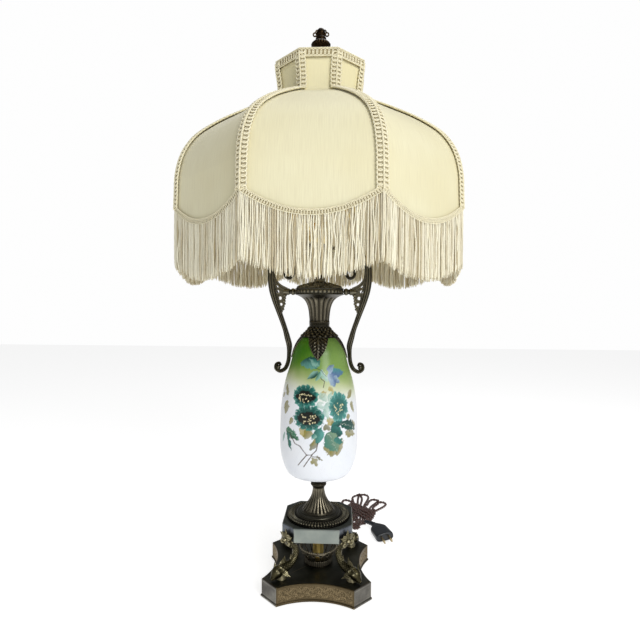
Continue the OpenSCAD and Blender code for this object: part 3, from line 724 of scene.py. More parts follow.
# ------------------------------------------------------------------ base
def eight_sided(half, side, arc, long_steps, short_steps):
    """An outline with four long sides, hollowed to an arc if there is one, and four facets.

    Gives its points, the directions in which it grows, the distance from each side's middle,
    and 1 on the long sides or 2 on the facets."""
    points, grows, places, kinds = [], [], [], []
    y = np.linspace(-side, side, long_steps)
    facet = np.linspace(0, 1, short_steps)[1:-1]
    depth = math.sqrt(arc * arc - side * side) if arc else 0
    for quarter in range(4):
        turn = quarter * math.pi / 2
        x = half + depth - np.sqrt(arc * arc - y * y) if arc else np.full_like(y, half)
        out = np.column_stack((half + depth - x, -y)) / arc if arc else np.tile((1.0, 0.0), (len(y), 1))
        for end, corner in ((0, (1, -1)), (-1, (1, 1))):
            other = unit(np.array(corner, float))
            out[end] = (out[end] + other) / (1 + out[end].dot(other))
        line = np.column_stack((x, y))
        across = np.column_stack((half + (side - half) * facet, side + (half - side) * facet))
        line = np.vstack((line, across))
        out = np.vstack((out, np.tile(unit(np.array((1.0, 1.0))), (len(facet), 1))))
        spin = np.array(((math.cos(turn), math.sin(turn)), (-math.sin(turn), math.cos(turn))))
        points.append(line @ spin)
        grows.append(out @ spin)
        places.append(np.concatenate((y, (facet - 0.5) * math.hypot(half - side, half - side))))
        kinds.append(np.concatenate((np.ones(len(y)), np.full(len(facet), 2.0))))
    return np.vstack(points), np.vstack(grows), np.concatenate(places), np.concatenate(kinds)


def block(shape, outline, rows, bore, plate, wall, relief=None):
    """A hollow block: outer rows of (growth, height), a top down to a bore, and a shell below.

    relief(distance along the side, height, kind) gives millimetres outwards and the tone."""
    points, grows, along, kinds = outline
    angle = np.arctan2(points[:, 1], points[:, 0])
    ring = np.column_stack((np.cos(angle), np.sin(angle)))
    layers, places = [], []

    def layer(flat, height, kind, tone=0.5):
        layers.append(np.column_stack((flat, np.full(len(flat), height))))
        tone = np.broadcast_to(tone, kind.shape)
        places.append(np.column_stack((kind, along, tone)))

    for grow, height in rows:
        push, tone = relief(along, height, kinds) if relief else (0 * along, 0.5)
        layer(points + grows * (grow + push)[:, None], height, kinds, tone)
    top = rows[-1][1]
    rim = points + grows * rows[-1][0]
    flat = 0 * kinds
    for t in (0.02, 0.2, 0.45, 0.7, 1):
        layer(rim * (1 - t) + ring * bore * t, top, flat)
    inner = points - grows * wall
    for t in (0, 0.5, 1):
        layer(ring * bore * (1 - t) + inner * t, top - plate, flat)
    layer(inner, rows[0][1], flat)
    layers.append(layers[0])
    places.append(places[0])
    shape.grid(np.array(layers), np.array(places))


def scrolls(u, v):
    """Two rows of small running scrolls and leaves: height from 0 to 1 at u along and v up."""
    cell = 8.2
    row = np.where(v > 0, 1, -1)
    x = u + 0.25 * cell * row
    number = np.floor(x / cell)
    mirror = np.where(number % 2 == 0, 1, -1)
    x = x - (number + 0.5) * cell
    y = (v - 4.1 * row) * mirror - 0.3
    far = np.hypot(x, y) + 1e-6
    angle = np.arctan2(y, x)
    curl = (0.5 + 0.5 * np.cos(TURN * far / 2 - angle)) * smooth((3.7 - far) / 0.8)
    leaves = (0.5 + 0.5 * np.cos(6 * angle + 1.3 * far)) * smooth((far - 3) / 0.8) * smooth((6.4 - far) / 1.4)
    stem = np.exp(-(((v - 4.1 * row - 2.7 * np.sin(math.pi * u / cell)) / 0.7) ** 2))
    wear = cloud(np.ravel(u), np.ravel(v), 3, 8, 2).reshape(np.shape(u))
    return np.clip(np.maximum.reduce((curl, 0.8 * leaves, 0.9 * stem)) * (0.45 + 0.9 * wear), 0, 1)


def plinth_relief(along, height, kind):
    """Embossed scrolls in a raised frame on the long sides; a plain sunk field on the facets."""
    v = height - 14.8
    side = np.where(kind == 1, 51.7, 16.7)
    from_edge = np.minimum(side - np.abs(along), 10.2 - abs(v))
    field = smooth((from_edge - 2.0) / 0.6)
    frame_line = smooth((from_edge - 0.6) / 0.5) * (1 - smooth((from_edge - 1.6) / 0.5))
    pattern = scrolls(along, np.full_like(along, v))
    leaves = np.where(kind == 1, field * pattern, 0)
    push = 0.12 * frame_line + 0.6 * leaves - 0.12 * field
    return push, np.clip(0.32 + 0.16 * frame_line + 0.5 * leaves, 0, 1)


def plinth_paint():
    """Dark olive top, brown-gold embossed sides and greyer facets."""
    p = Paint("plinth", Metallic=1.0)
    kind, _, tone = p.place()
    cloud = p.noise(40, detail=5)
    speck = p.noise(1000, detail=2)
    height = tone + 0.25 * (cloud - 0.5) + 0.2 * (speck - 0.5)
    side = p.mix(height.over(0.15, 0.95), (0.062, 0.047, 0.025), (0.29, 0.22, 0.12))
    facet = p.mix((height + 0.9 * (cloud - 0.5)).over(0.15, 0.75), (0.08, 0.074, 0.066), (0.27, 0.26, 0.225))
    top = p.mix(cloud.over(0.3, 0.75), (0.06, 0.061, 0.048), (0.13, 0.13, 0.105))
    sides = p.mix(kind.over(1.4, 1.6), side, facet)
    both = p.mix(kind.over(0.4, 0.6), top, sides)
    edge = p.edges().over(0.53, 0.62)
    p.colour(p.mix(edge * 0.5, both, (0.3, 0.25, 0.15)))
    p.rough(0.5 * cloud + 0.5 * speck, 0.3, 0.52)
    p.bump(0.7 * speck + 0.3 * cloud, 0.00006)
    return p.material


def pedestal_paint():
    """Grey-green bronze; the long sides are painted pale and the corner facets darker and bluer, as a painted
    reflection, and the edges paler grey, as a painted highlight.
    """
    p = Paint("pedestal", Metallic=1.0)
    kind, _, _ = p.place()
    cloud = p.noise(35, detail=5)
    speck = p.noise(1100, detail=2)
    # Painted reflection: the long sides are much paler than the facets and the top
    front = p.mix(cloud.over(0.3, 0.7), (0.24, 0.27, 0.25), (0.34, 0.37, 0.33))
    facet = p.mix(cloud.over(0.3, 0.7), (0.09, 0.1, 0.115), (0.16, 0.175, 0.2))
    top = p.mix(cloud.over(0.3, 0.7), (0.07, 0.08, 0.068), (0.12, 0.13, 0.11))
    sides = p.mix(kind.over(1.4, 1.6), front, facet)
    both = p.mix(kind.over(0.4, 0.6), top, sides)
    # Painted highlight: the edges turn paler grey
    edge = p.edges().over(0.53, 0.62)
    p.colour(p.mix(edge * 0.6, both, (0.45, 0.45, 0.4)))
    p.rough(0.6 * cloud + 0.4 * speck, 0.3, 0.5)
    p.bump(0.6 * speck + 0.4 * cloud, 0.00005)
    return p.material


def make_plinth():
    """The hollow plinth; its rows are close enough for the embossed sides."""
    shape = Shape()
    rows = [(-0.4, 1.2), (0.9, 1.5), (1.2, 2.1), (1.2, 3.6), (0.9, 4.1), (0.1, 4.4)]
    rows += [(0, z) for z in np.arange(4.9, 25.2, 0.42)]
    rows += [(0, 25.4), (-0.3, 25.8), (-0.9, 26)]
    outline = eight_sided(75.4, 51.7, 100, 250, 40)
    block(shape, outline, rows, BORE, 4, 5, plinth_relief)
    piece(shape, "plinth_embossed", plinth_paint(), stands_for=["plinth"])


def make_pedestal():
    """The hollow pedestal that stands on the dolphins."""
    shape = Shape()
    rows = [(-0.9, 75.3), (-0.3, 75.5), (0, 76.1), (0, 78), (0, 85), (0, 92), (0, 94), (-0.3, 94.7),
            (-0.9, 94.9)]
    block(shape, eight_sided(49.7, 30.9, 0, 24, 12), rows, BORE, 3, 3)
    piece(shape, "pedestal_octagon", pedestal_paint(), stands_for=["pedestal"])


def slab(shape, front, back, tone):
    """A closed plate between two grids of points."""
    rows, columns = front.shape[:2]
    points = np.concatenate((front, back[:, ::-1]), axis=1)
    tones = np.broadcast_to(tone, (rows, columns))
    tones = np.concatenate((tones, tones[:, ::-1]), axis=1)
    places = np.dstack((0 * tones, 0 * tones, tones))
    shape.grid(points, places, caps=True)


def make_gallery():
    """Openwork gallery round the foot of the sleeve: low leaves, slender posts, arches and beads."""
    def relief(angle, height):
        band = smooth((height - 26.4) / 1) * smooth((33.6 - height) / 0.8)
        leaves = band * np.abs(np.sin(20 * angle)) ** 0.7
        return 0.7 * leaves, 0.12 + 0.55 * leaves

    shape = Shape()
    wall = spline([(20.9, 26), (20.8, 27), (20.2, 29), (19.4, 31.4), (18.8, 33.2), (18, 34)], 5)
    shape.turned(np.vstack(([(9, 26)], wall, [(9, 34)])), 288, relief, closed=True)
    posts = 16
    rise = spline([(18.3, 33.4), (19.6, 35), (22.2, 38.6), (24.6, 43), (26, 47)], 5)
    wide = np.interp(np.linspace(0, 1, len(rise)), (0, 0.3, 0.75, 1), (1.9, 1.1, 1.5, 2.4))
    for number in range(posts):
        angle = TURN * (number + 0.5) / posts
        side = (-math.sin(angle), math.cos(angle), 0)
        shape.tube(polar(rise[:, 0], angle, rise[:, 1]), wide, 12, side, flat=0.5)
        t = np.linspace(0, 1, 13)
        turn = angle + t * TURN / posts
        shape.tube(polar(25, turn, 42.2 + 3.2 * np.sin(math.pi * t)), 0.75, 8, (0, 0, 1), tone=0.6)
    rim = [(25, 46.6), (26.6, 46.6), (27, 47.4), (26.6, 48.2), (25, 48.2), (24.6, 47.4)]
    shape.turned(rim, 144, closed=True)
    beads = 46
    for number in range(beads):
        angle = TURN * number / beads
        side = (-math.sin(angle), math.cos(angle), 0)
        shape.ball(polar(26.2, angle, 48.9), 1.45, 12, 9, side, flat=1.2, tone=1)
    piece(shape, "base_gallery_openwork", BRASS, stands_for=["base_gallery"])


def fin(shape, a, b, tip, side, thick, ribs=4):
    """A ribbed fin from the root line a-b to its tip."""
    a, b, tip, side = (np.array(v, float) for v in (a, b, tip, side))
    t, c = np.meshgrid(np.linspace(0, 1, 12), np.linspace(0, 1, 17), indexing="ij")
    root = a + (b - a) * c[..., None]
    middle = (a + b) / 2
    flat = root + (tip - middle) * t[..., None] * (0.8 + 0.2 * np.cos(TURN * (c - 0.5)))[..., None]
    flat += (middle - root) * (t**1.6 * (1 - 0.5 * np.sin(math.pi * t)))[..., None] * 0.8
    ray = 0.5 + 0.5 * np.cos(TURN * ribs * (c - 0.5))
    half = (0.5 * thick * (1 - 0.7 * t) * (1 - (2 * c - 1) ** 6) ** 0.5 + 0.15) * (0.65 + 0.35 * ray)
    slab(shape, flat + side * half[..., None], flat - side * half[..., None], 0.25 + 0.75 * ray)


DOLPHIN_SPINE = [
    (86.5, 29.2, 1.6, 2.2), (83, 31, 4, 4.2), (77, 35, 6.4, 8.2), (69, 37.4, 6.2, 8), (59, 38.6, 5.4, 6.4),
    (49.5, 42, 4.8, 5), (43.8, 49.5, 4.4, 4.4), (43.6, 58, 4, 4), (47.5, 64.5, 3.6, 3.4),
    (54, 69, 3.4, 2.8), (58.6, 74, 4.6, 2.2), (60, 80, 6.2, 1.8), (60.2, 86, 6.6, 1.4),
]


def make_dolphin(name, degrees):
    """A scaly dolphin: snout on the plinth, tail fluke against the pedestal."""
    shape = Shape()
    fine = spline(DOLPHIN_SPINE, 12)
    path = np.column_stack((fine[:, 0], 0 * fine[:, 0], fine[:, 1]))
    sides = 40
    _, across, up = frames(path, (0, 1, 0))
    long = distances(path)
    s, a = np.meshgrid(long, np.linspace(0, TURN, sides, endpoint=False), indexing="ij")
    row = np.floor(s / 2.4)
    around = 10
    dome = np.abs(np.sin(0.5 * around * a + (row % 2) * math.pi / 2)) * (1 - ((s / 2.4) % 1) ** 2)
    body = smooth((s - 14) / 5) * (1 - smooth((s - 78) / 6))
    mouth = np.exp(-(((np.sin(a) - 0.05) / 0.16) ** 2)) * smooth((9 - s) / 3)
    brow = np.exp(-(((s - 11) / 2.6) ** 2)) * np.exp(-(((np.sin(a) + 0.75) / 0.3) ** 2))
    gill = np.exp(-(((s - 18 - 2 * np.cos(2 * a)) / 1.1) ** 2))
    rays = (0.5 + 0.5 * np.cos(9 * np.cos(a) * math.pi)) * smooth((s - 84) / 5)
    push = 0.55 * dome * body - 0.9 * mouth + 0.9 * brow + 0.7 * gill + 0.5 * rays
    tone = 0.3 + 0.6 * dome * body + 0.5 * brow + 0.5 * gill + 0.45 * rays - 0.4 * mouth
    wide = (fine[:, 2][:, None] + push) * np.cos(a)
    high = (fine[:, 3][:, None] + push) * np.sin(a)
    points = path[:, None] + wide[..., None] * across[:, None] + high[..., None] * up[:, None]
    shape.grid(points, np.dstack((s, a, np.clip(tone, 0, 1))), caps=True)
    for side in (-1, 1):
        shape.ball((77.6, side * 5.9, 38.2), 1.5, 12, 9, tone=1)
        shape.ball((77.6, side * 5.6, 38.2), 2.3, 14, 9, axis=(0, 1, 0), flat=0.5, tone=0.6)
        fin(shape, (72, side * 5.2, 32), (66, side * 5.4, 38), (62, side * 13, 29.5), (0.3, 0, 1), 1.6)
        fin(shape, (80.5, side * 3, 40), (75.5, side * 4, 43), (74, side * 7.5, 49), (0, 1, 0.2), 1.4, 3)
        fin(shape, (59.5, side * 3.5, 72), (61.5, side * 4, 86), (60.5, side * 13.5, 84), (1, 0, 0), 2.2, 5)
        fin(shape, (58.5, side * 2.5, 70), (60.5, side * 4, 76), (61, side * 11, 69.5), (1, 0, 0), 2.0, 3)
        curl = [(60.8, side * 4, 72), (61.4, side * 7.5, 71), (62, side * 9, 74), (62.2, side * 7.2, 76.2),
                (62, side * 5.6, 74.6)]
        shape.tube(spline(curl, 5), np.linspace(1.5, 0.8, 21), 10, (1, 0, 0), tone=0.8)
    fin(shape, (73, 0, 44.4), (61, 0, 43.6), (62.5, 0, 55), (0, 1, 0), 2.2, 4)
    fin(shape, (53, 0, 45.4), (47, 0, 50), (52.5, 0, 53.5), (0, 1, 0), 1.8, 3)
    fin(shape, (60, -2.5, 84), (60, 2.5, 84), (61, 0, 93.4), (1, 0, 0), 2.2, 3)
    shape.ball((62, 0, 77), 2.4, 14, 10, axis=(1, 0, 0), flat=0.8, tone=1)
    foot = np.array([(69, 0, 26), (69, 0, 31), (68.5, 0, 34)])
    shape.tube(foot, (7.5, 5.4, 4.6), 20, (0, 1, 0), tone=0.4)
    lug = np.array([(51, 0, 64), (50, 0, 70), (50, 0, 75.3)])
    shape.tube(lug, (2.6, 3.2, 3.6), 16, (0, 1, 0), tone=0.4)
    turn = math.radians(degrees)
    spin = np.array(((math.cos(turn), math.sin(turn), 0), (-math.sin(turn), math.cos(turn), 0), (0, 0, 1)))
    shape.points = [p @ spin for p in shape.points]
    piece(shape, name + "_cast", GILT, stands_for=[name])


def make_rings():
    """The ring of petals on the pedestal and the smooth ring under the stem."""
    shape = Shape()
    profile = spline([(BORE, 94.9), (44.6, 94.9), (45, 95.6), (44.9, 96.6), (43.4, 98), (41, 97.4),
                      (39.4, 97.1), (37, 97.7), (34.8, 98.3), (32.5, 99), (20, 99), (BORE, 99)], 6)
    angle = np.linspace(0, TURN, 640, endpoint=False)
    a, r = np.meshgrid(angle, profile[:, 0])
    petals = 64
    petal = np.abs(np.sin(petals * a / 2)) ** 0.7 * smooth((r - 33.8) / 2.2) * smooth((45.6 - r) / 1.4)
    push = 2.1 * petal - 0.9 * smooth((r - 33) / 1)
    out = outwards(profile)
    flat = profile[:, :1] + push * out[:, :1]
    z = profile[:, 1:] + push * out[:, 1:]
    tone = 0.1 + 0.8 * petal
    shape.grid(polar(flat, a, z), np.dstack((a, r, tone)))
    piece(shape, "beaded_ring_cast", BRONZE, stands_for=["beaded_ring"])
    ring = Shape()
    ring.turned(spline([(BORE, 99), (30.4, 99), (31.2, 99.5), (31.4, 100.4), (30.7, 101.6), (29, 102.1),
                        (27.4, 101.4), (26.2, 101.8), (25.2, 102.6), (24.2, 103), (BORE, 103)], 6), 144)
    piece(ring, "stem_ring_turned", BRONZE, stands_for=["stem_ring"])


STEM_LINE = [
    (23.8, 103), (23.4, 104.2), (21.6, 107), (17.6, 112), (13.7, 118), (10.8, 124), (9, 131), (8.6, 135.6),
    (9.6, 138.4), (10.7, 139.4), (11.6, 141.2), (11, 142.8), (10.4, 143.2), (11.2, 144.8), (13, 146),
    (18.7, 149.4), (22.8, 152.6), (23.7, 153.6), (23.6, 154.2),
]


def make_stem():
    """The fluted stem, which opens into a lobed cup under the vase."""
    def relief(angle, height):
        reed = np.abs(np.sin(11 * angle)) ** 0.55
        body = smooth((height - 104) / 3) * smooth((137.6 - height) / 2.5)
        wide = 0.35 + 1.5 * np.clip((124 - height) / 20, 0, 1)
        cup = np.abs(np.sin(10 * angle)) ** 0.8 * smooth((height - 146) / 2) * smooth((152.5 - height) / 1.5)
        push = -wide * (1 - reed) * body + 0.25 * cup
        return push, np.clip(0.5 + (reed - 0.62) * body + 0.2 * cup, 0, 1)

    shape = Shape()
    profile = np.vstack(([(BORE, 103)], spline(STEM_LINE, 8), [(BORE, 154.2)]))
    shape.turned(profile, 480, relief)
    piece(shape, "stem_fluted", BRASS, stands_for=["fluted_stem"])


make_plinth()
make_pedestal()
make_gallery()
for name, degrees in (("dolphin_front_left", 225), ("dolphin_front_right", 315),
                      ("dolphin_rear_left", 135), ("dolphin_rear_right", 45)):
    make_dolphin(name, degrees)
make_rings()
make_stem()
finish_nodes(FELT, "felt_pad")
finish_nodes(RUBBER, "cord_bushing", "vase_gaskets")
finish_nodes(COPPER, "base_washer")
finish_nodes(SLEEVE, "spacer_sleeve", "centre_rod", "bottom_nut")
finish_nodes(STEEL, "bottom_washer", "dolphin_screws")


# ------------------------------------------------------------------ vase
VASE_FOOT = 155
VASE_WALL = 3.5
VASE_LINE = [
    (22, 0), (33, 0.9), (41.5, 3.4), (46, 7.2), (49.2, 13), (52, 20.5), (54.6, 30), (56.2, 42), (56.5, 56),
    (56.3, 75), (55.6, 95), (53.8, 113), (51.2, 130), (47.6, 145), (43.4, 158), (39.6, 172), (36, 185),
    (30, 197), (20, 208),
]
VASE_OUTSIDE = spline(VASE_LINE, 8) + np.array((0, VASE_FOOT))
UNROLLED = 52


def vase_radius(height):
    """The outside radius of the vase."""
    return np.interp(height, VASE_OUTSIDE[:, 1], VASE_OUTSIDE[:, 0])


def on_vase(x, z):
    """Where a spot of the front view lies on the unrolled vase."""
    around = math.asin(max(-0.98, min(0.98, x / float(vase_radius(z))))) + CAMERA_AZIMUTH
    return around * UNROLLED, z


def over(value, low, high):
    """0 below low, 1 above high, smooth between; low may be the greater of the two."""
    return smooth((value - low) / (high - low))


def blend(mask, under, ink):
    """A colour laid over others where the mask is 1."""
    mask = np.asarray(mask)[:, None]
    return under * (1 - mask) + np.asarray(ink) * mask


class Decoration:
    """Brush strokes on points of the unrolled vase, one over the other, in millimetres."""

    def __init__(self, around, height, ground):
        self.ragged = cloud(around, height, 2.2, 3)
        shake = 4.6 * (cloud(around, height, 3.4, 4) - 0.5)
        self.x, self.z = around + shake, height + shake
        self.fine_x, self.fine_z = around + 0.15 * shake, height + 0.15 * shake
        self.shown = ground

    def leaf(self, start, end, width, near, far, opacity=1.0, bend=0.0, vein=0.0):
        """A pointed leaf; near and far are its colours below and above the midrib."""
        start, end = on_vase(*start), on_vase(*end)
        run, rise = end[0] - start[0], end[1] - start[1]
        long = math.hypot(run, rise)
        x, z = self.x - start[0], self.z - start[1]
        t = np.clip((x * run + z * rise) / long ** 2, 0, 1)
        v = (z * run - x * rise) / long - bend * np.sin(t * math.pi)
        edge = np.sin(t ** 0.8 * math.pi).clip(0) ** 0.8 * width * 0.5 - 0.12
        side = blend(over(v / width, -0.45, 0.4), np.broadcast_to(near, self.shown.shape), far)
        side = blend(over(0.25 - np.abs(v), -0.1, 0.15) * vein, side, (0.75, 0.82, 0.72))
        wash = 0.85 + 0.3 * (self.ragged[:, None] - 0.5)
        self.shown = blend(over(edge - np.abs(v), -0.3, 0.45) * opacity, self.shown, side * wash)

    def stem(self, spots, width=1.0, ink=(0.03, 0.026, 0.016)):
        """Thin straight lines from spot to spot."""
        spots = np.array([on_vase(*spot) for spot in spots])
        for start, end in zip(spots[:-1], spots[1:]):
            run = end - start
            x, z = self.fine_x - start[0], self.fine_z - start[1]
            t = np.clip((x * run[0] + z * run[1]) / (run @ run), 0, 1)
            far = np.hypot(x - t * run[0], z - t * run[1])
            self.shown = blend(over(width * 0.5 - far, -0.22, 0.22) * 0.95, self.shown, ink)

    def flower(self, spot, wide, high, petals, turn, dark, pale, light=0.0):
        """A round flower with ragged petals, a black middle and cream dots."""
        spot = on_vase(*spot)
        x, z = self.fine_x - spot[0], self.fine_z - spot[1]
        u, v = x / wide, z / high
        far = np.hypot(u, v)
        around = np.arctan2(v, u)
        ragged = self.ragged - 0.5
        wave = np.abs(np.sin(around * petals * 0.5 + turn + 1.6 * ragged))
        mask = over(0.86 + 0.1 * wave ** 0.6 + 0.3 * ragged - far, -0.03, 0.06)
        streak = np.abs(np.sin(around * petals * 2.5 + self.ragged * 5))
        wash = over(far + 0.5 * ragged - 0.14 * streak, 0.5, 1.02)
        body = blend(wash, np.broadcast_to(dark, self.shown.shape), pale)
        seam = over(0.2 - wave, -0.1, 0.14) * over(far, 0.5, 0.85) * 0.6
        shown = blend(mask, self.shown, blend(seam, body, (0.42, 0.68, 0.62)))
        middle = over(0.58 + 0.3 * ragged - far * 0.75 - 0.45 * np.abs(v + 0.08), -0.02, 0.06)
        shown = blend(middle * (1 - light), shown, (0.004, 0.006, 0.004))
        turns = np.random.default_rng(int(100 * wide + petals)).uniform(0, TURN, 34)
        reach = 0.1 + 0.4 * np.linspace(0, 1, 34) ** 0.6
        for angle, r in zip(turns, reach):
            if math.sin(angle) * r > 0.22:
                continue
            dot = np.hypot(x - wide * r * math.cos(angle), z - high * r * math.sin(angle))
            shown = blend(over(0.7 - dot, -0.25, 0.2) * 0.9, shown, (0.93, 0.84, 0.5))
        self.shown = shown


def vase_colours(angle, height):
    """Milk glass, sprayed green above, with teal flowers, khaki leaves and thin brown stems; the green is
    painted lighter on the right and darker on the left, as painted light and shade.
    """
    around = ((angle + TURN / 4 + TURN / 2) % TURN - TURN / 2) * UNROLLED
    swing = UNROLLED * np.cos(angle)
    patch = cloud(0.6 * height + UNROLLED * np.cos(angle), 0.8 * height + UNROLLED * np.sin(angle), 34, 1)
    level = height + 16 * (patch - 0.5)
    milk = blend(patch, np.broadcast_to((0.82, 0.86, 0.93), (len(angle), 3)), (0.9, 0.92, 0.95))
    warm = blend(over(level + 0.1 * swing, 262, 305.6), milk, (0.66, 0.7, 0.4))
    # Painted light and shade: the green is lighter towards +X and darker towards -X
    side = over(swing, -24, 26)
    green = blend(side, np.broadcast_to((0.13, 0.27, 0.02), milk.shape), (0.22, 0.36, 0.09))
    deep = blend(side, np.broadcast_to((0.045, 0.17, 0.004), milk.shape), (0.13, 0.25, 0.05))
    sprayed = blend(over(level + 0.12 * swing, 278, 321.8), warm, green)
    art = Decoration(around, height, blend(over(level - 0.2 * swing, 312, 350), sprayed, deep))

    teal_dark, teal, mint = (0.008, 0.07, 0.06), (0.03, 0.2, 0.17), (0.3, 0.56, 0.47)
    khaki, olive, cream = (0.27, 0.235, 0.02), (0.15, 0.14, 0.015), (0.52, 0.42, 0.1)
    blue, sky = (0.13, 0.22, 0.42), (0.38, 0.52, 0.66)

    back_leaves = (
        ((-45, 291.2), (-43, 275.9), 9, khaki), ((-44, 269.7), (-47, 250.8), 13, khaki),
        ((-48, 278.6), (-52, 271.5), 7, khaki), ((-36, 249), (-40, 238.2), 7, khaki),
        ((-26, 235.5), (-8, 228.3), 17, cream), ((-12, 235.5), (-19, 221.1), 12, khaki),
        ((40, 275.1), (46, 284.9), 9, khaki), ((45, 269.7), (49, 252.6), 8, khaki),
        ((41, 253.5), (41, 244.5), 7, khaki), ((12, 251.7), (21, 238.2), 11, cream),
        ((17, 245.4), (24, 239.1), 7, khaki), ((8, 241.8), (15, 232.8), 8, olive),
        ((-3, 218.4), (-12, 206.8), 9, olive), ((-1, 223.8), (-9, 212.2), 7, khaki),
        ((10, 215.8), (20, 198.7), 15, khaki), ((27, 214), (16, 197.8), 13, khaki),
        ((32, 221.1), (24, 196), 10, khaki), ((36, 228.3), (51, 221.1), 10, khaki),
        ((47, 242.7), (51, 231.9), 6, khaki), ((-8, 197.8), (-2, 183.4), 8, khaki),
        ((-4, 198.7), (7, 193.3), 4, olive), ((14, 293), (20, 282.2), 8, cream),
        ((8, 287.6), (4, 276.8), 7, cream),
    )
    for start, end, width, colour in back_leaves:
        art.leaf(start, end, width, colour, tuple(0.7 * c + 0.2 for c in colour), 0.9)
    mint_leaves = (
        ((2, 284.9), (10, 271.5), 11), ((16, 271.5), (7, 257.1), 11), ((8, 262.5), (13, 248.1), 9),
        ((-2, 271.5), (6, 262.5), 9), ((18, 284), (12, 271.5), 8), ((4, 251.7), (-6, 239.1), 8),
    )
    for start, end, width in mint_leaves:
        art.leaf(start, end, width, mint, (0.6, 0.78, 0.68), 0.75)
    art.stem(((1, 307.4), (4, 302), (8, 299.3), (6, 291.2)))
    art.leaf((2, 322.7), (-26, 322.7), 17, teal_dark, (0.14, 0.38, 0.33), bend=-1)
    art.leaf((1, 320), (-14, 329.9), 8, teal, mint, 0.8)
    art.leaf((-1, 312.8), (-16, 302), 9, mint, teal_dark)
    art.leaf((4, 312.8), (-5, 299.3), 7, teal, mint, 0.9)
    art.leaf((2, 314.6), (13, 298.4), 8, mint, (0.45, 0.66, 0.6), 0.9)
    art.stem(((-5, 317.3), (3, 313.7), (10, 305.6)), 0.8, (0.02, 0.05, 0.03))
    art.leaf((12, 308.3), (34, 309.2), 14, blue, (0.1, 0.32, 0.36), bend=2)
    art.leaf((14, 312.8), (23, 292.1), 14, sky, blue)
    art.leaf((11, 311), (20, 320), 10, sky, blue, 0.9)
    art.leaf((20, 305.6), (29, 296.6), 9, blue, sky, 0.9)
    art.flower((28, 264.7), 16, 22, 11, 0.4, (0.05, 0.2, 0.18), (0.12, 0.4, 0.36), 0.75)
    art.flower((-19, 279.1), 20, 17, 12, 0.2, (0.01, 0.09, 0.075), (0.055, 0.3, 0.25))
    art.flower((-14, 250.3), 22, 18.5, 12, 1.1, (0.008, 0.075, 0.062), (0.05, 0.27, 0.22))
    art.leaf((17, 237.3), (33, 243.6), 10, teal_dark, teal, bend=1)
    art.leaf((30, 241.8), (51, 228.3), 15, (0.006, 0.1, 0.075), teal_dark, bend=2, vein=0.8)
    art.leaf((16, 235.5), (33, 225.6), 15, teal_dark, teal, bend=1)
    art.leaf((12, 231), (26, 203.2), 22, (0.07, 0.24, 0.18), (0.22, 0.34, 0.22), vein=0.6)
    art.leaf((22, 222.9), (33, 214), 10, (0.06, 0.25, 0.2), teal)
    art.leaf((3, 237.3), (-2, 214.9), 14, (0.02, 0.15, 0.12), (0.1, 0.36, 0.32), bend=-1)
    art.leaf((-4, 229.2), (-9, 221.1), 7, teal, mint)
    art.leaf((-45, 231.9), (-26, 219.3), 13, (0.02, 0.12, 0.055), (0.06, 0.24, 0.13), vein=0.5)
    art.leaf((-44, 227.4), (-38, 201.4), 7, (0.02, 0.15, 0.09), teal)
    art.leaf((-47, 226.5), (-51, 209.5), 5, (0.1, 0.3, 0.25), mint, 0.8)
    brown = (0.06, 0.035, 0.02)
    art.stem(((-40, 224.7), (-32, 213.1), (-26, 211.3), (-16, 199.6), (-28, 183.4)), 1.25, brown)
    art.stem(((-16, 199.6), (-9, 200.5), (-3, 206.8), (-1, 216.6)), 1.25, brown)
    art.stem(((-9, 199.6), (-20, 182.5)), 1.25, brown)
    art.stem(((-8, 198.2), (2, 197.3)), 1.1, brown)
    return art.shown


def vase_paint():
    """Glossy painted glass; the colour of each spot is its "ink"."""
    p = Paint("painted_milk_glass", Specular_IOR_Level=0.35)
    fine = p.noise(420, detail=2)
    p.colour(p.kept("ink", "Color"))
    p.rough(fine, 0.24, 0.36)
    p.bump(fine, 0.00004)
    return p.material


# The vase's mesh: millimetres between rows, the half angle that is painted finely, and the columns
VASE_ROW = 0.8
VASE_FRONT = 1.45
VASE_COLUMNS = 245
BACK_COLUMNS = 42


def make_vase():
    """The vase, its wall of glass and a mesh fine enough in front for the painting."""
    shape = Shape()
    outside = VASE_OUTSIDE
    long = distances(outside)
    steps = np.arange(0, long[-1], VASE_ROW)
    fine = np.column_stack([np.interp(steps, long, outside[:, i]) for i in (0, 1)])
    fine = np.vstack((fine, outside[-1:]))
    body = outside[(outside[:, 1] > VASE_FOOT + VASE_WALL + 1) & (outside[:, 0] > 20)]
    inside = body - outwards(body) * VASE_WALL
    inside = inside[(inside[:, 1] > VASE_FOOT + VASE_WALL) & (inside[:, 0] > 14)][::4][::-1]
    foot, top = VASE_FOOT, outside[-1, 1]
    profile = np.vstack(([(14, foot)], fine, [(16, top), (16, top - VASE_WALL)], inside,
                         [(30, foot + VASE_WALL), (14, foot + VASE_WALL), (14, foot)]))
    middle = CAMERA_AZIMUTH - TURN / 4
    front = np.linspace(-VASE_FRONT, VASE_FRONT, VASE_COLUMNS)
    angle = middle + np.concatenate((front, np.linspace(VASE_FRONT, TURN - VASE_FRONT, BACK_COLUMNS)[1:-1]))
    shape.turned(profile, angle)
    vase = piece(shape, "vase_painted", vase_paint(), stands_for=["vase"])
    angles = np.tile(angle, len(profile))
    heights = np.repeat(profile[:, 1], len(angle))
    colours = np.ones((len(angles), 4))
    colours[:, :3] = vase_colours(angles, heights)
    ink = vase.data.color_attributes.new("ink", "FLOAT_COLOR", "POINT")
    ink.data.foreach_set("color", colours.astype(np.float32).ravel())


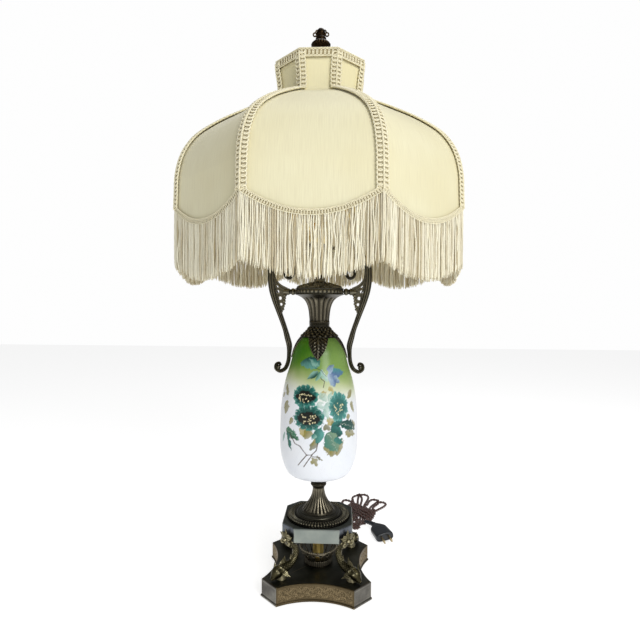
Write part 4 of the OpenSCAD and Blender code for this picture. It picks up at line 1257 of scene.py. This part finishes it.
# ------------------------------------------------------------------ mounts above the vase
def make_collar():
    """Four feathered leaves on the shoulders of the vase, under a ring of small leaves."""
    shape = Shape()
    z = np.linspace(326.6, 359, 58)
    profile = np.column_stack((vase_radius(z), z))
    out = outwards(profile)
    half = np.interp(z, (326.6, 329, 334, 341, 349, 355, 359), (0.2, 2, 5.9, 10, 13, 13.9, 14.4))
    c = np.linspace(-1, 1, 33)
    across = np.outer(half, c)
    rise = z[:, None]
    for quarter in range(4):
        angle = quarter * TURN / 4 + across / profile[:, :1]
        direction = polar(out[:, :1], angle, out[:, 1:])
        base = polar(profile[:, :1], angle, rise)
        feather = ((rise + 0.75 * np.abs(across)) / 4.6) % 1
        side = 0.5 + 0.5 * np.cos(TURN * across / 5.2)
        relief = feather ** 1.5 * (0.45 + 0.55 * side)
        border = smooth((half[:, None] - np.abs(across)) / 1.1)
        rib = np.exp(-((across / 0.9) ** 2))
        height = 0.9 + 1.1 * np.maximum(relief * border, 0.9 * rib * border) + 0.55 * (1 - border)
        tone = 0.15 + 0.7 * np.maximum(relief * border, rib) + 0.35 * (1 - border)
        slab(shape, base + direction * height[..., None], base + direction * 0.3, np.clip(tone, 0, 1))

    def relief(angle, height):
        leaves = np.abs(np.sin(10 * angle + 0.5 * height)) * np.abs(np.cos(10 * angle - 0.5 * height))
        low = smooth((height - 357.8) / 1.2) * smooth((372.4 - height) / 1.2)
        grooves = 0.5 + 0.5 * np.cos(TURN * (height - 373) / 1.9)
        high = smooth((height - 372.6) / 0.6) * smooth((377.4 - height) / 0.6)
        return 1.2 * leaves * low + 0.5 * grooves * high, 0.12 + 0.75 * leaves * low + 0.4 * grooves * high

    ring = spline([(27.4, 357.4), (26.8, 358.8), (24.8, 360.8), (22.6, 362.8), (20.2, 365), (17.8, 367.8),
                   (16, 370.6), (14.8, 372.6), (14.4, 374.4), (14.5, 376.4), (14.8, 378)], 10)
    inner = np.array([(5.4, 378), (5.4, 364.2), (21, 364), (25, 359.6), (26.4, 357.6)])
    shape.turned(np.vstack((ring, inner)), 288, relief, closed=True)
    piece(shape, "leaf_collar_cast", BRONZE, stands_for=["leaf_collar"])


def make_neck():
    """The fluted neck, wider towards its top."""
    def relief(angle, height):
        reed = np.abs(np.sin(8 * angle)) ** 0.5
        body = smooth((height - 379.6) / 2.5) * smooth((415.5 - height) / 3)
        deep = 0.7 + 1.4 * np.clip((height - 380) / 34, 0, 1)
        return -deep * (1 - reed) * body, np.clip(0.45 + 0.8 * (reed - 0.6) * body, 0, 1)

    shape = Shape()
    line = spline([(14.2, 378), (14.9, 378.8), (14.6, 381), (14.8, 385), (15.9, 395), (17.8, 403),
                   (21.3, 410), (26.7, 415), (32.8, 418)], 10)
    profile = np.vstack(([(5.4, 378)], line, [(5.4, 418)]))
    shape.turned(profile, 384, relief)
    piece(shape, "neck_fluted", BRASS, stands_for=["neck"])


def make_cup():
    """The cup on the neck: an embossed band between two rims."""
    def relief(angle, height):
        band = smooth((height - 420.6) / 0.5) * smooth((426 - height) / 0.5)
        scale = np.abs(np.sin(18 * angle)) * np.abs(np.sin((height - 420.4) * math.pi / 5.6)) ** 0.6
        return 0.9 * scale * band, np.clip(0.3 + 0.7 * scale * band, 0, 1)

    shape = Shape()
    line = spline([(33, 418), (34.8, 418.6), (35.1, 419.8), (34.2, 420.8), (34.2, 425.8), (35, 426.6),
                   (35.1, 427.6), (34.2, 428)], 6)
    profile = np.vstack(([(5.4, 418)], line, [(32, 428), (32, 419.3), (5.4, 419.3)]))
    shape.turned(profile, 432, relief, closed=True)
    piece(shape, "gallery_cup_embossed", BRONZE, stands_for=["gallery_cup"])


def make_finial():
    """The turned finial with a fluted bell, a beaded rim and two small ears."""
    shape = Shape()
    line = spline([(8, 735.9), (8.6, 737.6), (8.2, 739.4), (6.2, 741.6), (5.9, 744), (5.2, 750), (5.5, 757),
                   (6.6, 764), (8.2, 768.6), (10.6, 771.6), (13.2, 773.8), (14, 775.6), (13.8, 777.2),
                   (12.2, 779), (9.6, 781), (7.6, 782), (7.3, 783.6), (7.7, 785), (7, 786.8), (5.4, 788),
                   (5.1, 789.2), (6.2, 791.6), (6.1, 795), (4.9, 797.6), (3.4, 799.1), (1.6, 799.9),
                   (0.05, 800)], 6)

    def relief(angle, height):
        reed = np.abs(np.sin(5 * angle)) ** 0.6
        bell = smooth((height - 746) / 5) * smooth((773 - height) / 3)
        beads = np.abs(np.sin(10 * angle)) ** 0.7
        rim = smooth((height - 773.4) / 0.8) * smooth((779 - height) / 0.8)
        push = -1.1 * (1 - reed) * bell - 0.9 * (1 - beads) * rim
        return push, np.clip(0.45 + 0.7 * (reed - 0.6) * bell + 0.7 * (beads - 0.5) * rim, 0, 1)

    profile = np.vstack(([(3.2, 735.9)], line, [(0.05, 772.6), (3.2, 772.2)]))
    shape.turned(profile, 240, relief, closed=True)
    for side in (-1, 1):
        turn = np.linspace(0, TURN, 25)
        ear = np.column_stack((side * 8.7 + 2.3 * np.cos(turn), 0 * turn, 791.2 + 2.5 * np.sin(turn)))
        shape.tube(ear, 1.05, 10, tone=0.8)
        shape.tube([(side * 4.6, 0, 790.6), (side * 6.6, 0, 791)], 1.6, 12)
        curl = [(side * 7.8, 0, 793.6), (side * 7, 0, 796.4), (side * 5.4, 0, 798)]
        shape.tube(curl, (1.2, 1, 0.7), 10, tone=0.8)
    piece(shape, "finial_turned", FINIAL_BRASS, body="finial", stands_for=["finial"])


make_vase()
make_collar()
make_neck()
make_cup()
make_finial()


# ------------------------------------------------------------------ handles
STRAP_LINE = [
    (47.5, 456.5, 3.4), (51, 452, 3.8), (49.6, 445, 4.2), (43.8, 442.6, 4.6), (38.9, 448, 5),
    (38.8, 459, 5.6), (44.5, 469.5, 6.4), (55, 475.2, 7.6), (65, 470.5, 9.2), (69.9, 460, 10.4),
    (70.5, 449, 10.8), (70.3, 438, 10.8), (68.4, 424, 10.2), (65, 411, 9.2), (60.6, 398, 8.2),
    (56, 385, 7.4), (50.4, 369, 7.2), (46.8, 356, 8.2), (43.9, 344, 8.2), (44.2, 333, 6.2),
    (45.4, 321, 6), (49.6, 311, 6), (57, 306.8, 5.4), (63.2, 310.4, 5), (63, 316.6, 4.6),
    (58.6, 318.4, 4), (56.6, 314.6, 3.4),
]
STRAP_DEPTH = 7
WEB_LINE = [
    (47.4, 418), (49.7, 415), (50.6, 410), (50.1, 404.5), (52.9, 400), (52.5, 397), (55, 393), (58, 393),
    (66, 420), (66, 447), (65.2, 447), (64, 442), (60.5, 436), (55, 431), (47.4, 428),
]
WEB_HOLES = [(61, 423, 2.2), (57.5, 413.5, 2.4), (61, 431, 1.8), (56, 404.5, 2)]


def in_plane(points, y=0.0):
    """Points of (x, z) as points in space, all at the same y."""
    points = np.asarray(points, float)
    return np.column_stack((points[:, 0], np.full(len(points), y), points[:, 1]))


def pierced_plate(shape, outline, holes, half):
    """A flat plate with round holes."""
    ring = [(x + r * math.cos(a), z + r * math.sin(a)) for x, z, r in holes
            for a in np.linspace(0, TURN, 20, endpoint=False)]
    outline = [tuple(p) for p in outline]
    edges = [(i, (i + 1) % len(outline)) for i in range(len(outline))]
    for number in range(len(holes)):
        first = len(outline) + 20 * number
        edges += [(first + i, first + (i + 1) % 20) for i in range(20)]
    found = delaunay_2d_cdt([Vector(p) for p in outline + ring], edges, [], 1, 1e-5)
    flat = np.array([tuple(p) for p in found[0]])
    faces = []
    for face in found[2]:
        middle = flat[list(face)].mean(axis=0)
        if all(math.hypot(middle[0] - x, middle[1] - z) > r for x, z, r in holes):
            faces.append(list(face))
    used = [pair for face in faces for pair in zip(face, face[1:] + face[:1])]
    known = set(used)
    rims = [(a, b) for a, b in used if (b, a) not in known]
    count = len(flat)
    base = shape.count
    shape.add(in_plane(flat, -half), np.array(faces))
    shape.add(in_plane(flat, half), np.array([face[::-1] for face in faces]))
    shape.faces += [[base + b, base + a, base + a + count, base + b + count] for a, b in rims]


def make_handle(name, side):
    """A scroll handle: a ridged strap, a pierced web, curved ribs and small scrolls."""
    shape = Shape()
    fine = spline(STRAP_LINE, 9)
    path = in_plane(fine[:, :2])
    _, across, up = frames(path, (0, 1, 0))
    angle = np.linspace(0, TURN, 44, endpoint=False)
    c, s = np.cos(angle), np.sin(angle)
    depth = np.sign(c) * np.abs(c) ** 0.45
    width = np.sign(s) * np.abs(s) ** 0.62
    ridges = 0.5 + 0.5 * np.cos(3 * TURN * 0.5 * (width + 1))
    face = smooth((np.abs(c) - 0.25) / 0.3)
    y = (STRAP_DEPTH / 2 - 0.75) * depth + np.sign(c) * (0.95 * ridges * face)
    high = np.outer(fine[:, 2] / 2, width)
    points = path[:, None] + y[None, :, None] * across[:, None] + high[..., None] * up[:, None]
    long = distances(path)
    tone = np.clip(0.22 + 0.62 * ridges * face + 0.1, 0, 1)
    places = np.dstack((np.broadcast_to(long[:, None], high.shape), high, np.broadcast_to(tone, high.shape)))
    shape.grid(points, places, caps=True)
    shape.ball((60, 0, 312.4), 3.5, 18, 12, axis=(0, 1, 0), flat=0.95, tone=0.7)
    shape.ball((45.8, 0, 453.2), 3.8, 18, 12, axis=(0, 1, 0), flat=0.9, tone=0.7)
    pierced_plate(shape, WEB_LINE, WEB_HOLES, 1.5)
    for x, z, r in WEB_HOLES:
        turn = np.linspace(0, TURN, 21)
        reach = r + 0.5
        for y in (-1.5, 1.5):
            ring = np.column_stack((x + reach * np.cos(turn), np.full(21, y), z + reach * np.sin(turn)))
            shape.tube(ring, 0.6, 6, tone=0.85)
    ribs = [[(67, 452), (65, 442), (60, 435), (54, 430.8), (47.2, 427.8)],
            [(67, 445), (64.6, 437.5), (59.4, 431), (54, 427), (48, 424.8)],
            [(66.8, 437), (63.6, 430), (58.8, 425.4), (54, 422.6), (48.6, 421.4)]]
    for line in ribs:
        shape.tube(in_plane(spline(line, 8)), np.linspace(2.9, 2.2, 33), 14, (0, 1, 0), flat=0.52, tone=0.75)
    curls = [(51, 417.6, 2.5), (50.9, 413.4, 2.1), (51.7, 409.4, 2.4), (51.3, 405.2, 2), (53.2, 401.4, 2.4),
             (53.2, 397.4, 1.9), (55.6, 394.2, 2.2)]
    for x, z, r in curls:
        shape.ball((x, 0, z), r, 14, 10, axis=(0, 1, 0), flat=1.15, tone=0.85)
    vine = [(63.6, 427), (60.4, 419.4), (59.6, 410), (57.4, 401), (57, 394)]
    shape.tube(in_plane(spline(vine, 8)), np.linspace(2.1, 1.5, 33), 10, (0, 1, 0), flat=0.5, tone=0.8)
    shape.tube([(46.9, 0, 423), (52.5, 0, 423)], 3.5, 20)
    shape.tube([(47.4, 0, 423), (49, 0, 423)], 4.1, 20, tone=0.8)
    shape.points = [p * np.array((side, 1, 1)) for p in shape.points]
    if side < 0:
        shape.faces = [face[::-1] for face in shape.faces]
    piece(shape, name + "_cast", BRONZE, stands_for=[name])


def make_dome_leaves():
    """Ten small feathered leaves on the cap, between its holes."""
    shape = Shape()
    t, c = np.meshgrid(np.linspace(0, 1, 30), np.linspace(-1, 1, 17), indexing="ij")
    r = 34 - 22.4 * t
    z = np.interp(-r, (-34.2, -31, -26, -20, -14, -10), (428.2, 429.6, 430.8, 432.6, 435.2, 437))
    half = 0.3 + 4.6 * np.sin(math.pi * t ** 0.75)
    feather = ((r + 0.8 * np.abs(c) * half) / 3) % 1
    rib = np.exp(-((c * half / 0.6) ** 2))
    raised = np.maximum(feather, rib)
    rise = 0.6 + 1.7 * (1 - c ** 4) * np.sin(math.pi * t ** 0.7) ** 0.5 * (0.45 + 0.55 * raised)
    tone = np.clip(0.15 + 0.75 * raised, 0, 1)
    for number in range(10):
        angle = TURN * (number + 0.5) / 10 + c * half / r
        out = polar(1, angle, 0)
        base = polar(r, angle, z)
        up = 0.3 * out + np.array((0, 0, 0.95))
        slab(shape, base + up * rise[..., None], base + up * 0.1, tone)
    piece(shape, "dome_leaves_cast", BRONZE)


make_handle("handle_left", -1)
make_handle("handle_right", 1)
make_dome_leaves()
finish_nodes(PLAIN_BRONZE, "handle_knuckles", "dome_cap", "top_nut")
finish_nodes(STEEL, "handle_screws")


# ------------------------------------------------------------------ sockets and bulbs
finish_nodes(PIPE, "riser_pipe")
finish_nodes(SLEEVE, "top_rod", "cluster_body", "shade_seat", "socket_caps", "socket_shells", "screw_shells")
finish_nodes(SLEEVE, "key_left", "key_right")
finish_nodes(PORCELAIN, "switch_bodies")
finish_nodes(FIBRE, "socket_liners")
finish_nodes(TIN, "bulb_base_left", "bulb_base_right")
finish_nodes(BULB, "bulb_glass_left", "bulb_glass_right")
finish_nodes(RUBBER, "inner_cord")


# ------------------------------------------------------------------ shade
PANELS = 8
RIM = 742
SKIRT = 566
SKIRT_RADIUS = 201
HEM = 499.5
SCALLOP = 26
FRINGE = 75
STRANDS = 70
TRIM = 6.5
BRAID = 2.2
SILK = -BRAID - 0.2
LINING = -7.0
COLLAR_LINE = [(66.5, 742), (65.4, 728), (62.6, 710), (61.6, 694)]
DOME_LINE = [
    (61.6, 694), (64.5, 690.4), (72, 687.5), (88, 680), (112, 668), (144, 650), (171.5, 630), (186, 613),
    (194.6, 596), (199, 580), (SKIRT_RADIUS, SKIRT),
]


def hem_height(u):
    """The hem dips in the middle of each panel."""
    return HEM + SCALLOP * (2 * u - 1) ** 2


def skirt_radius(z):
    """The skirt flares a little downwards."""
    return SKIRT_RADIUS + (SKIRT - z) / 30


def rib_direction(k):
    """The level direction of a rib, from the axis outwards."""
    angle = math.radians(22.5 + 45 * k)
    return np.array((math.cos(angle), math.sin(angle), 0))


def facing(k):
    """The direction in which a panel faces."""
    return unit(rib_direction(k) + rib_direction(k + 1))


# How wide a panel is for each millimetre of the ribs' distance from the axis
SPREAD = np.linalg.norm(rib_direction(0) - rib_direction(1))


def on_panel(k, u, r, z):
    """Points on a panel: u runs from one rib to the next, r and z are taken along a rib."""
    u, r, z = np.broadcast_arrays(np.asarray(u, float), r, z)
    a, b = rib_direction(k), rib_direction(k + 1)
    flat = ((1 - u)[..., None] * a + u[..., None] * b) * r[..., None]
    flat[..., 2] = z
    return flat


def shade_profile(offset, steps=6):
    """The rib's line from the skirt up to the rim, moved outwards by an offset."""
    line = np.vstack((spline(COLLAR_LINE, steps)[:-1], spline(DOME_LINE, steps)))[::-1]
    return line + outwards(line) * offset


def panel_grid(k, offset, low, drop, belly=0.0, columns=25, rows=14):
    """A grid over one panel, from the hem up; belly pulls its middle inwards."""
    u = np.linspace(0, 1, columns)
    line = shade_profile(offset)
    line[:, 1] = np.minimum(line[:, 1], RIM - drop)
    heights = distances(line)
    levels, places = [], []
    for t in np.linspace(1, 0, rows, endpoint=False):
        z = SKIRT + (hem_height(u) + low - SKIRT) * t
        levels.append(on_panel(k, u, skirt_radius(z) + offset, z))
        places.append(np.column_stack(((u - 0.5) * SPREAD * SKIRT_RADIUS, z - SKIRT, 0.5 + 0 * u)))
    for (r, z), far in zip(line, heights):
        levels.append(on_panel(k, u, np.full_like(u, r), np.full_like(u, z)))
        places.append(np.column_stack(((u - 0.5) * SPREAD * r, far + 0 * u, 0.5 + 0 * u)))
    grid, places = np.array(levels), np.array(places)
    if belly:
        v = np.linspace(0, 1, len(grid))[:, None]
        inwards = -(rib_direction(k) + rib_direction(k + 1)) / 2
        pull = belly * np.sin(math.pi * u) * np.clip(6 * v * (1 - v), 0, 1)
        grid = grid + pull[..., None] * inwards
    return grid, places


def cloth_sheet(shape, grid, places, thick):
    """A thin closed sheet on the inside of a grid."""
    along = np.gradient(grid, axis=1)
    up = np.gradient(grid, axis=0)
    out = unit(np.cross(along, up))
    both = np.concatenate((grid, (grid - out * thick)[:, ::-1]), axis=1)
    shape.grid(both, np.concatenate((places, places[:, ::-1]), axis=1), caps=True)


def silk_paint():
    """Cream silk with upright slubs, a little yellower towards the rim."""
    p = Paint("slub_silk", Specular_IOR_Level=0.25, Sheen_Weight=0.25, Sheen_Roughness=0.4)
    across, far, _ = p.place()
    slub = p.noise(1.0, p.join(across * 1.3, far * 0.035), detail=3)
    weave = p.noise(1.0, p.join(across * 0.25, far * 2.2), detail=2)
    cloud = p.noise(7, detail=3)
    thread = slub.over(0.35, 0.68)
    base = p.mix(cloud.over(0.3, 0.7), (0.79, 0.73, 0.47), (0.85, 0.81, 0.57))
    lines = p.mix(thread * 0.45, base, (0.72, 0.66, 0.44))
    p.colour(p.mix(far.over(120, 260) * 0.5, lines, (0.86, 0.78, 0.46)))
    p.rough(0.6 * slub + 0.4 * weave, 0.5, 0.72)
    p.bump(0.75 * slub + 0.25 * weave, 0.00016)
    return p.material


def lining_paint():
    """Cream cotton with a fine weave and cloudy stains."""
    p = Paint("lining_cotton", Roughness=0.8, Sheen_Weight=0.15)
    weave = p.noise(900, detail=2)
    cloud = p.noise(9, detail=3)
    p.colour(p.mix(0.6 * cloud + 0.4 * weave, (0.72, 0.64, 0.46), (0.82, 0.76, 0.58)))
    p.rough(weave, 0.7, 0.9)
    p.bump(weave, 0.00008)
    return p.material


def make_silk():
    """Eight stretched panels and one lining."""
    silk, lined = silk_paint(), lining_paint()
    panels = []
    for k in range(PANELS):
        shape = Shape()
        grid, places = panel_grid(k, SILK, 1, 0.4, belly=1.6)
        cloth_sheet(shape, grid, places, 0.6)
        sheet = piece(shape, "silk_panel_%d" % (k + 1), silk, body="shade",
                      stands_for=["shade_silk"] if k == 0 else ())
        panels.append(sheet)
    shape = Shape()
    for k in range(PANELS):
        grid, places = panel_grid(k, LINING, 3, 8, columns=13, rows=8)
        cloth_sheet(shape, grid, places, 0.5)
    lining = piece(shape, "lining_cotton", lined, body="shade", stands_for=["shade_lining"])


# ------------------------------------------------------------------ braid and fringe
def braid_paint():
    """Gimp braid: pale cords on a tape painted darker, as painted shade between the cords."""
    p = Paint("gimp_braid", Specular_IOR_Level=0.25, Sheen_Weight=0.2)
    _, _, tone = p.place()
    cloud = p.noise(60, detail=3)
    twist = p.noise(1600, detail=2)
    p.colour(p.mix((tone + 0.3 * (cloud - 0.5)).over(0.1, 0.8), (0.3, 0.24, 0.12), (0.86, 0.8, 0.58)))
    p.rough(twist, 0.6, 0.8)
    p.bump(twist, 0.00012)
    return p.material


def fringe_paint():
    """Rayon strands from tan to cream white; the tone changes from strand to strand, and the layers behind
    are painted darker, as painted shade.
    """
    p = Paint("fringe_strands", Specular_IOR_Level=0.35, Sheen_Weight=0.2)
    _, far, tone = p.place()
    grain = p.noise(900, detail=2)
    base = p.mix((tone + 0.25 * (grain - 0.5)).over(0.05, 0.95), (0.45, 0.36, 0.19), (0.94, 0.9, 0.72))
    p.colour(p.mix((far / FRINGE).over(0.75, 1.1) * 0.3, base, (0.93, 0.9, 0.82)))
    p.rough(grain, 0.45, 0.65)
    p.bump(grain, 0.0001)
    return p.material


class Braid:
    """Gimp laid along a line: a woven tape with cords and rows of loops on its face."""

    def __init__(self, shape, path, out, across):
        self.shape = shape
        self.path = path
        self.out = out
        self.across = across
        self.along = distances(path)

    def spot(self, s, side, high):
        """A point so far along, to the side and off the face."""
        s, side, high = np.broadcast_arrays(np.asarray(s, float), side, high)
        parts = []
        for values in (self.path, self.across, self.out):
            parts.append(np.column_stack([np.interp(s, self.along, values[:, j]) for j in range(3)]))
        return parts[0] + parts[1] * side[:, None] + parts[2] * high[:, None]

    def tape(self, low, high, thick, tone=0.15):
        # The tape's low tone makes the ground between the cords painted shade
        s = np.linspace(0, self.along[-1], max(4, int(self.along[-1] / 4)))
        sides = np.linspace(low, high, 5)
        front = np.stack([self.spot(s, side, thick) for side in sides], axis=1)
        back = np.stack([self.spot(s, side, 0) for side in sides], axis=1)
        slab(self.shape, front, back, tone)

    def rope(self, side, radius, high, pitch=3.2, tone=0.95):
        """Two strands twisted round each other."""
        s = np.arange(0, self.along[-1], pitch / 6)
        for half in (0, math.pi):
            turn = TURN * s / pitch + half
            swing = 0.55 * radius
            path = self.spot(s, side + swing * np.cos(turn), high + radius + swing * np.sin(turn))
            # Painted shade: a strand is darker where it dips into the twist; its tube takes the mean tone
            tones = np.clip(tone - 0.25 * (0.5 - 0.5 * np.sin(turn)), 0, 1)
            self.shape.tube(path, radius * 0.62, 5, side=self.out[0] + 1e-3, tone=tones.mean())

    def loops(self, side, reach, radius, high, pitch, lean=1, tone=0.9, start=0.0):
        """A cord that runs in open loops along the braid."""
        s = np.arange(start, self.along[-1] - pitch * 0.3, pitch / 12)
        turn = TURN * s / pitch
        path = self.spot(s + 0.42 * pitch * np.sin(turn), side + lean * reach * np.cos(turn),
                         high + radius * (1 + 0.5 * np.sin(turn)))
        self.shape.tube(path, radius, 5, side=self.out[0] + 1e-3, tone=tone)


def rib_path(k):
    """A line down one rib, from the rim to the skirt, with outward and sideways directions."""
    line = shade_profile(-0.9, 5)[::-1]
    line = line[line[:, 1] < RIM - 4]
    line = np.vstack((line, [(skirt_radius(z) - 0.9, z) for z in (556, 545, 534, 527)]))
    line = even(line, 90)
    out = outwards(line[::-1])[::-1]
    ray, side = rib_direction(k), rib_direction(k + 2)
    return (*(v[:, :1] * ray + np.array((0, 0, 1)) * v[:, 1:] for v in (line, out)), side)


def make_rib_gimp(material):
    """Braid folded over each rib: a ridge rope and two rows of loops on either face."""
    fold = math.radians(22.5)
    for k in range(PANELS):
        shape = Shape()
        path, out, side = rib_path(k)
        along = unit(np.gradient(path, axis=0))
        for half in (-1, 1):
            chord = side * half * math.cos(fold) - rib_direction(k) * math.sin(fold)
            across = unit(chord - along * (along @ chord)[:, None])
            face = unit(np.cross(along, across))
            face = face * np.sign((face * out).sum(axis=1))[:, None]
            braid = Braid(shape, path, face, across)
            # The rib tape is painted mid-dark, as painted shade between the loops
            braid.tape(0, 6.4, 0.4, 0.42)
            braid.loops(4.2, 2.9, 1.0, 0.3, 5.2, start=0 if half > 0 else 2.6)
        ridge = Braid(shape, path, out, np.broadcast_to(side, path.shape))
        ridge.rope(0, 1.25, 0.2)
        piece(shape, "rib_braid_%d" % (k + 1), material, body="shade",
              stands_for=["rib_gimp"] if k == 0 else (), sharp=80)


def make_rim_gimp(material):
    """The braid round the shade's rim."""
    shape = Shape()
    for k in range(PANELS):
        u = np.linspace(0, 1, 14)
        z = np.full_like(u, 736.0)
        path = on_panel(k, u, np.full_like(u, 65.9), z)
        face = facing(k)
        out = np.broadcast_to(face, path.shape)
        up = np.broadcast_to(np.array((0.0, 0, 1)), path.shape)
        braid = Braid(shape, path, out, up)
        braid.tape(-6, 6, -1.6)
        braid.rope(5.2, 0.85, -0.5)
        braid.rope(-5.2, 0.85, -0.5)
        braid.loops(1.7, 2.2, 0.62, -0.4, 5.2)
        braid.loops(-1.7, 2.2, 0.62, -0.4, 5.2, lean=-1, start=2.6)
    piece(shape, "rim_braid", material, body="shade", stands_for=["rim_gimp"], sharp=80)


def make_hem_gimp(material):
    """The braid along the scalloped hem, above the fringe."""
    shape = Shape()
    for k in range(PANELS):
        u = np.linspace(0, 1, 40)
        z = hem_height(u) + 3.5
        path = on_panel(k, u, skirt_radius(z) - 1.0, z)
        face = facing(k)
        out = np.broadcast_to(face, path.shape)
        up = unit(np.cross(out, unit(np.gradient(path, axis=0))))
        up = up * np.sign(up[:, 2:])
        braid = Braid(shape, path, out, up)
        braid.tape(-3.4, 3.4, -1.0)
        braid.rope(3.0, 0.75, -0.3, pitch=2.8)
        braid.rope(-2.6, 0.75, -0.3, pitch=2.8)
        braid.loops(0.2, 1.7, 0.58, -0.1, 3.2)
    piece(shape, "hem_braid", material, body="shade", stands_for=["hem_gimp"], sharp=80)


def make_fringe():
    """Twisted strands that hang from the hem braid in three layers."""
    material = fringe_paint()
    t = np.linspace(0, 1, 13)
    for k in range(PANELS):
        shape = Shape()
        face = facing(k)
        sideways = unit(rib_direction(k + 1) - rib_direction(k))
        # Painted shade: the strands of each layer further back get a darker tone
        for layer, back, dark in ((0, 0.6, 0.0), (1, 2.0, 0.15), (2, 3.4, 0.2)):
            for number in range(STRANDS):
                u = (number + 0.2 + 0.33 * layer + random.uniform(-0.3, 0.3)) / STRANDS
                u = min(max(u, 0.004), 0.996)
                top = hem_height(u) + 1.2
                drop = FRINGE - TRIM * (1 - (2 * u - 1) ** 2) + random.uniform(-3.4, 1.2)
                start = on_panel(k, np.array([u]), skirt_radius(top), top)[0]
                lean = random.normal(0, 1.1)
                bow = random.normal(0, 0.8)
                wave = random.normal(0, 0.5)
                phase = random.uniform(0, TURN)
                path = np.tile(start - face * back, (len(t), 1))
                push = lean * t**1.5 + bow * np.sin(math.pi * t) + wave * np.sin(TURN * 1.5 * t + phase)
                depth = 0.5 * wave * np.sin(5 * t + phase) * t
                path += sideways * push[:, None] + face * depth[:, None]
                path[:, 2] = top - drop * t
                radius = random.uniform(0.9, 1.4) * (0.9 + 0.14 * t)
                radius[-1] *= 0.35
                radius[0] *= 0.8
                tone = float(np.clip(random.normal(0.74, 0.24) - dark, 0, 1))
                turn = 5.5 * TURN * t / 6 + phase
                shape.tube(path, radius, 6, face, flat=0.72, turn=turn, tone=tone)
        piece(shape, "fringe_panel_%d" % (k + 1), material, body="shade",
              stands_for=["fringe"] if k == 0 else (), sharp=80)


make_silk()
BRAID_PAINT = braid_paint()
make_rib_gimp(BRAID_PAINT)
make_rim_gimp(BRAID_PAINT)
make_hem_gimp(BRAID_PAINT)
make_fringe()
finish_nodes(LACQUER, "shade_frame")
finish_nodes(STEEL, "spider")
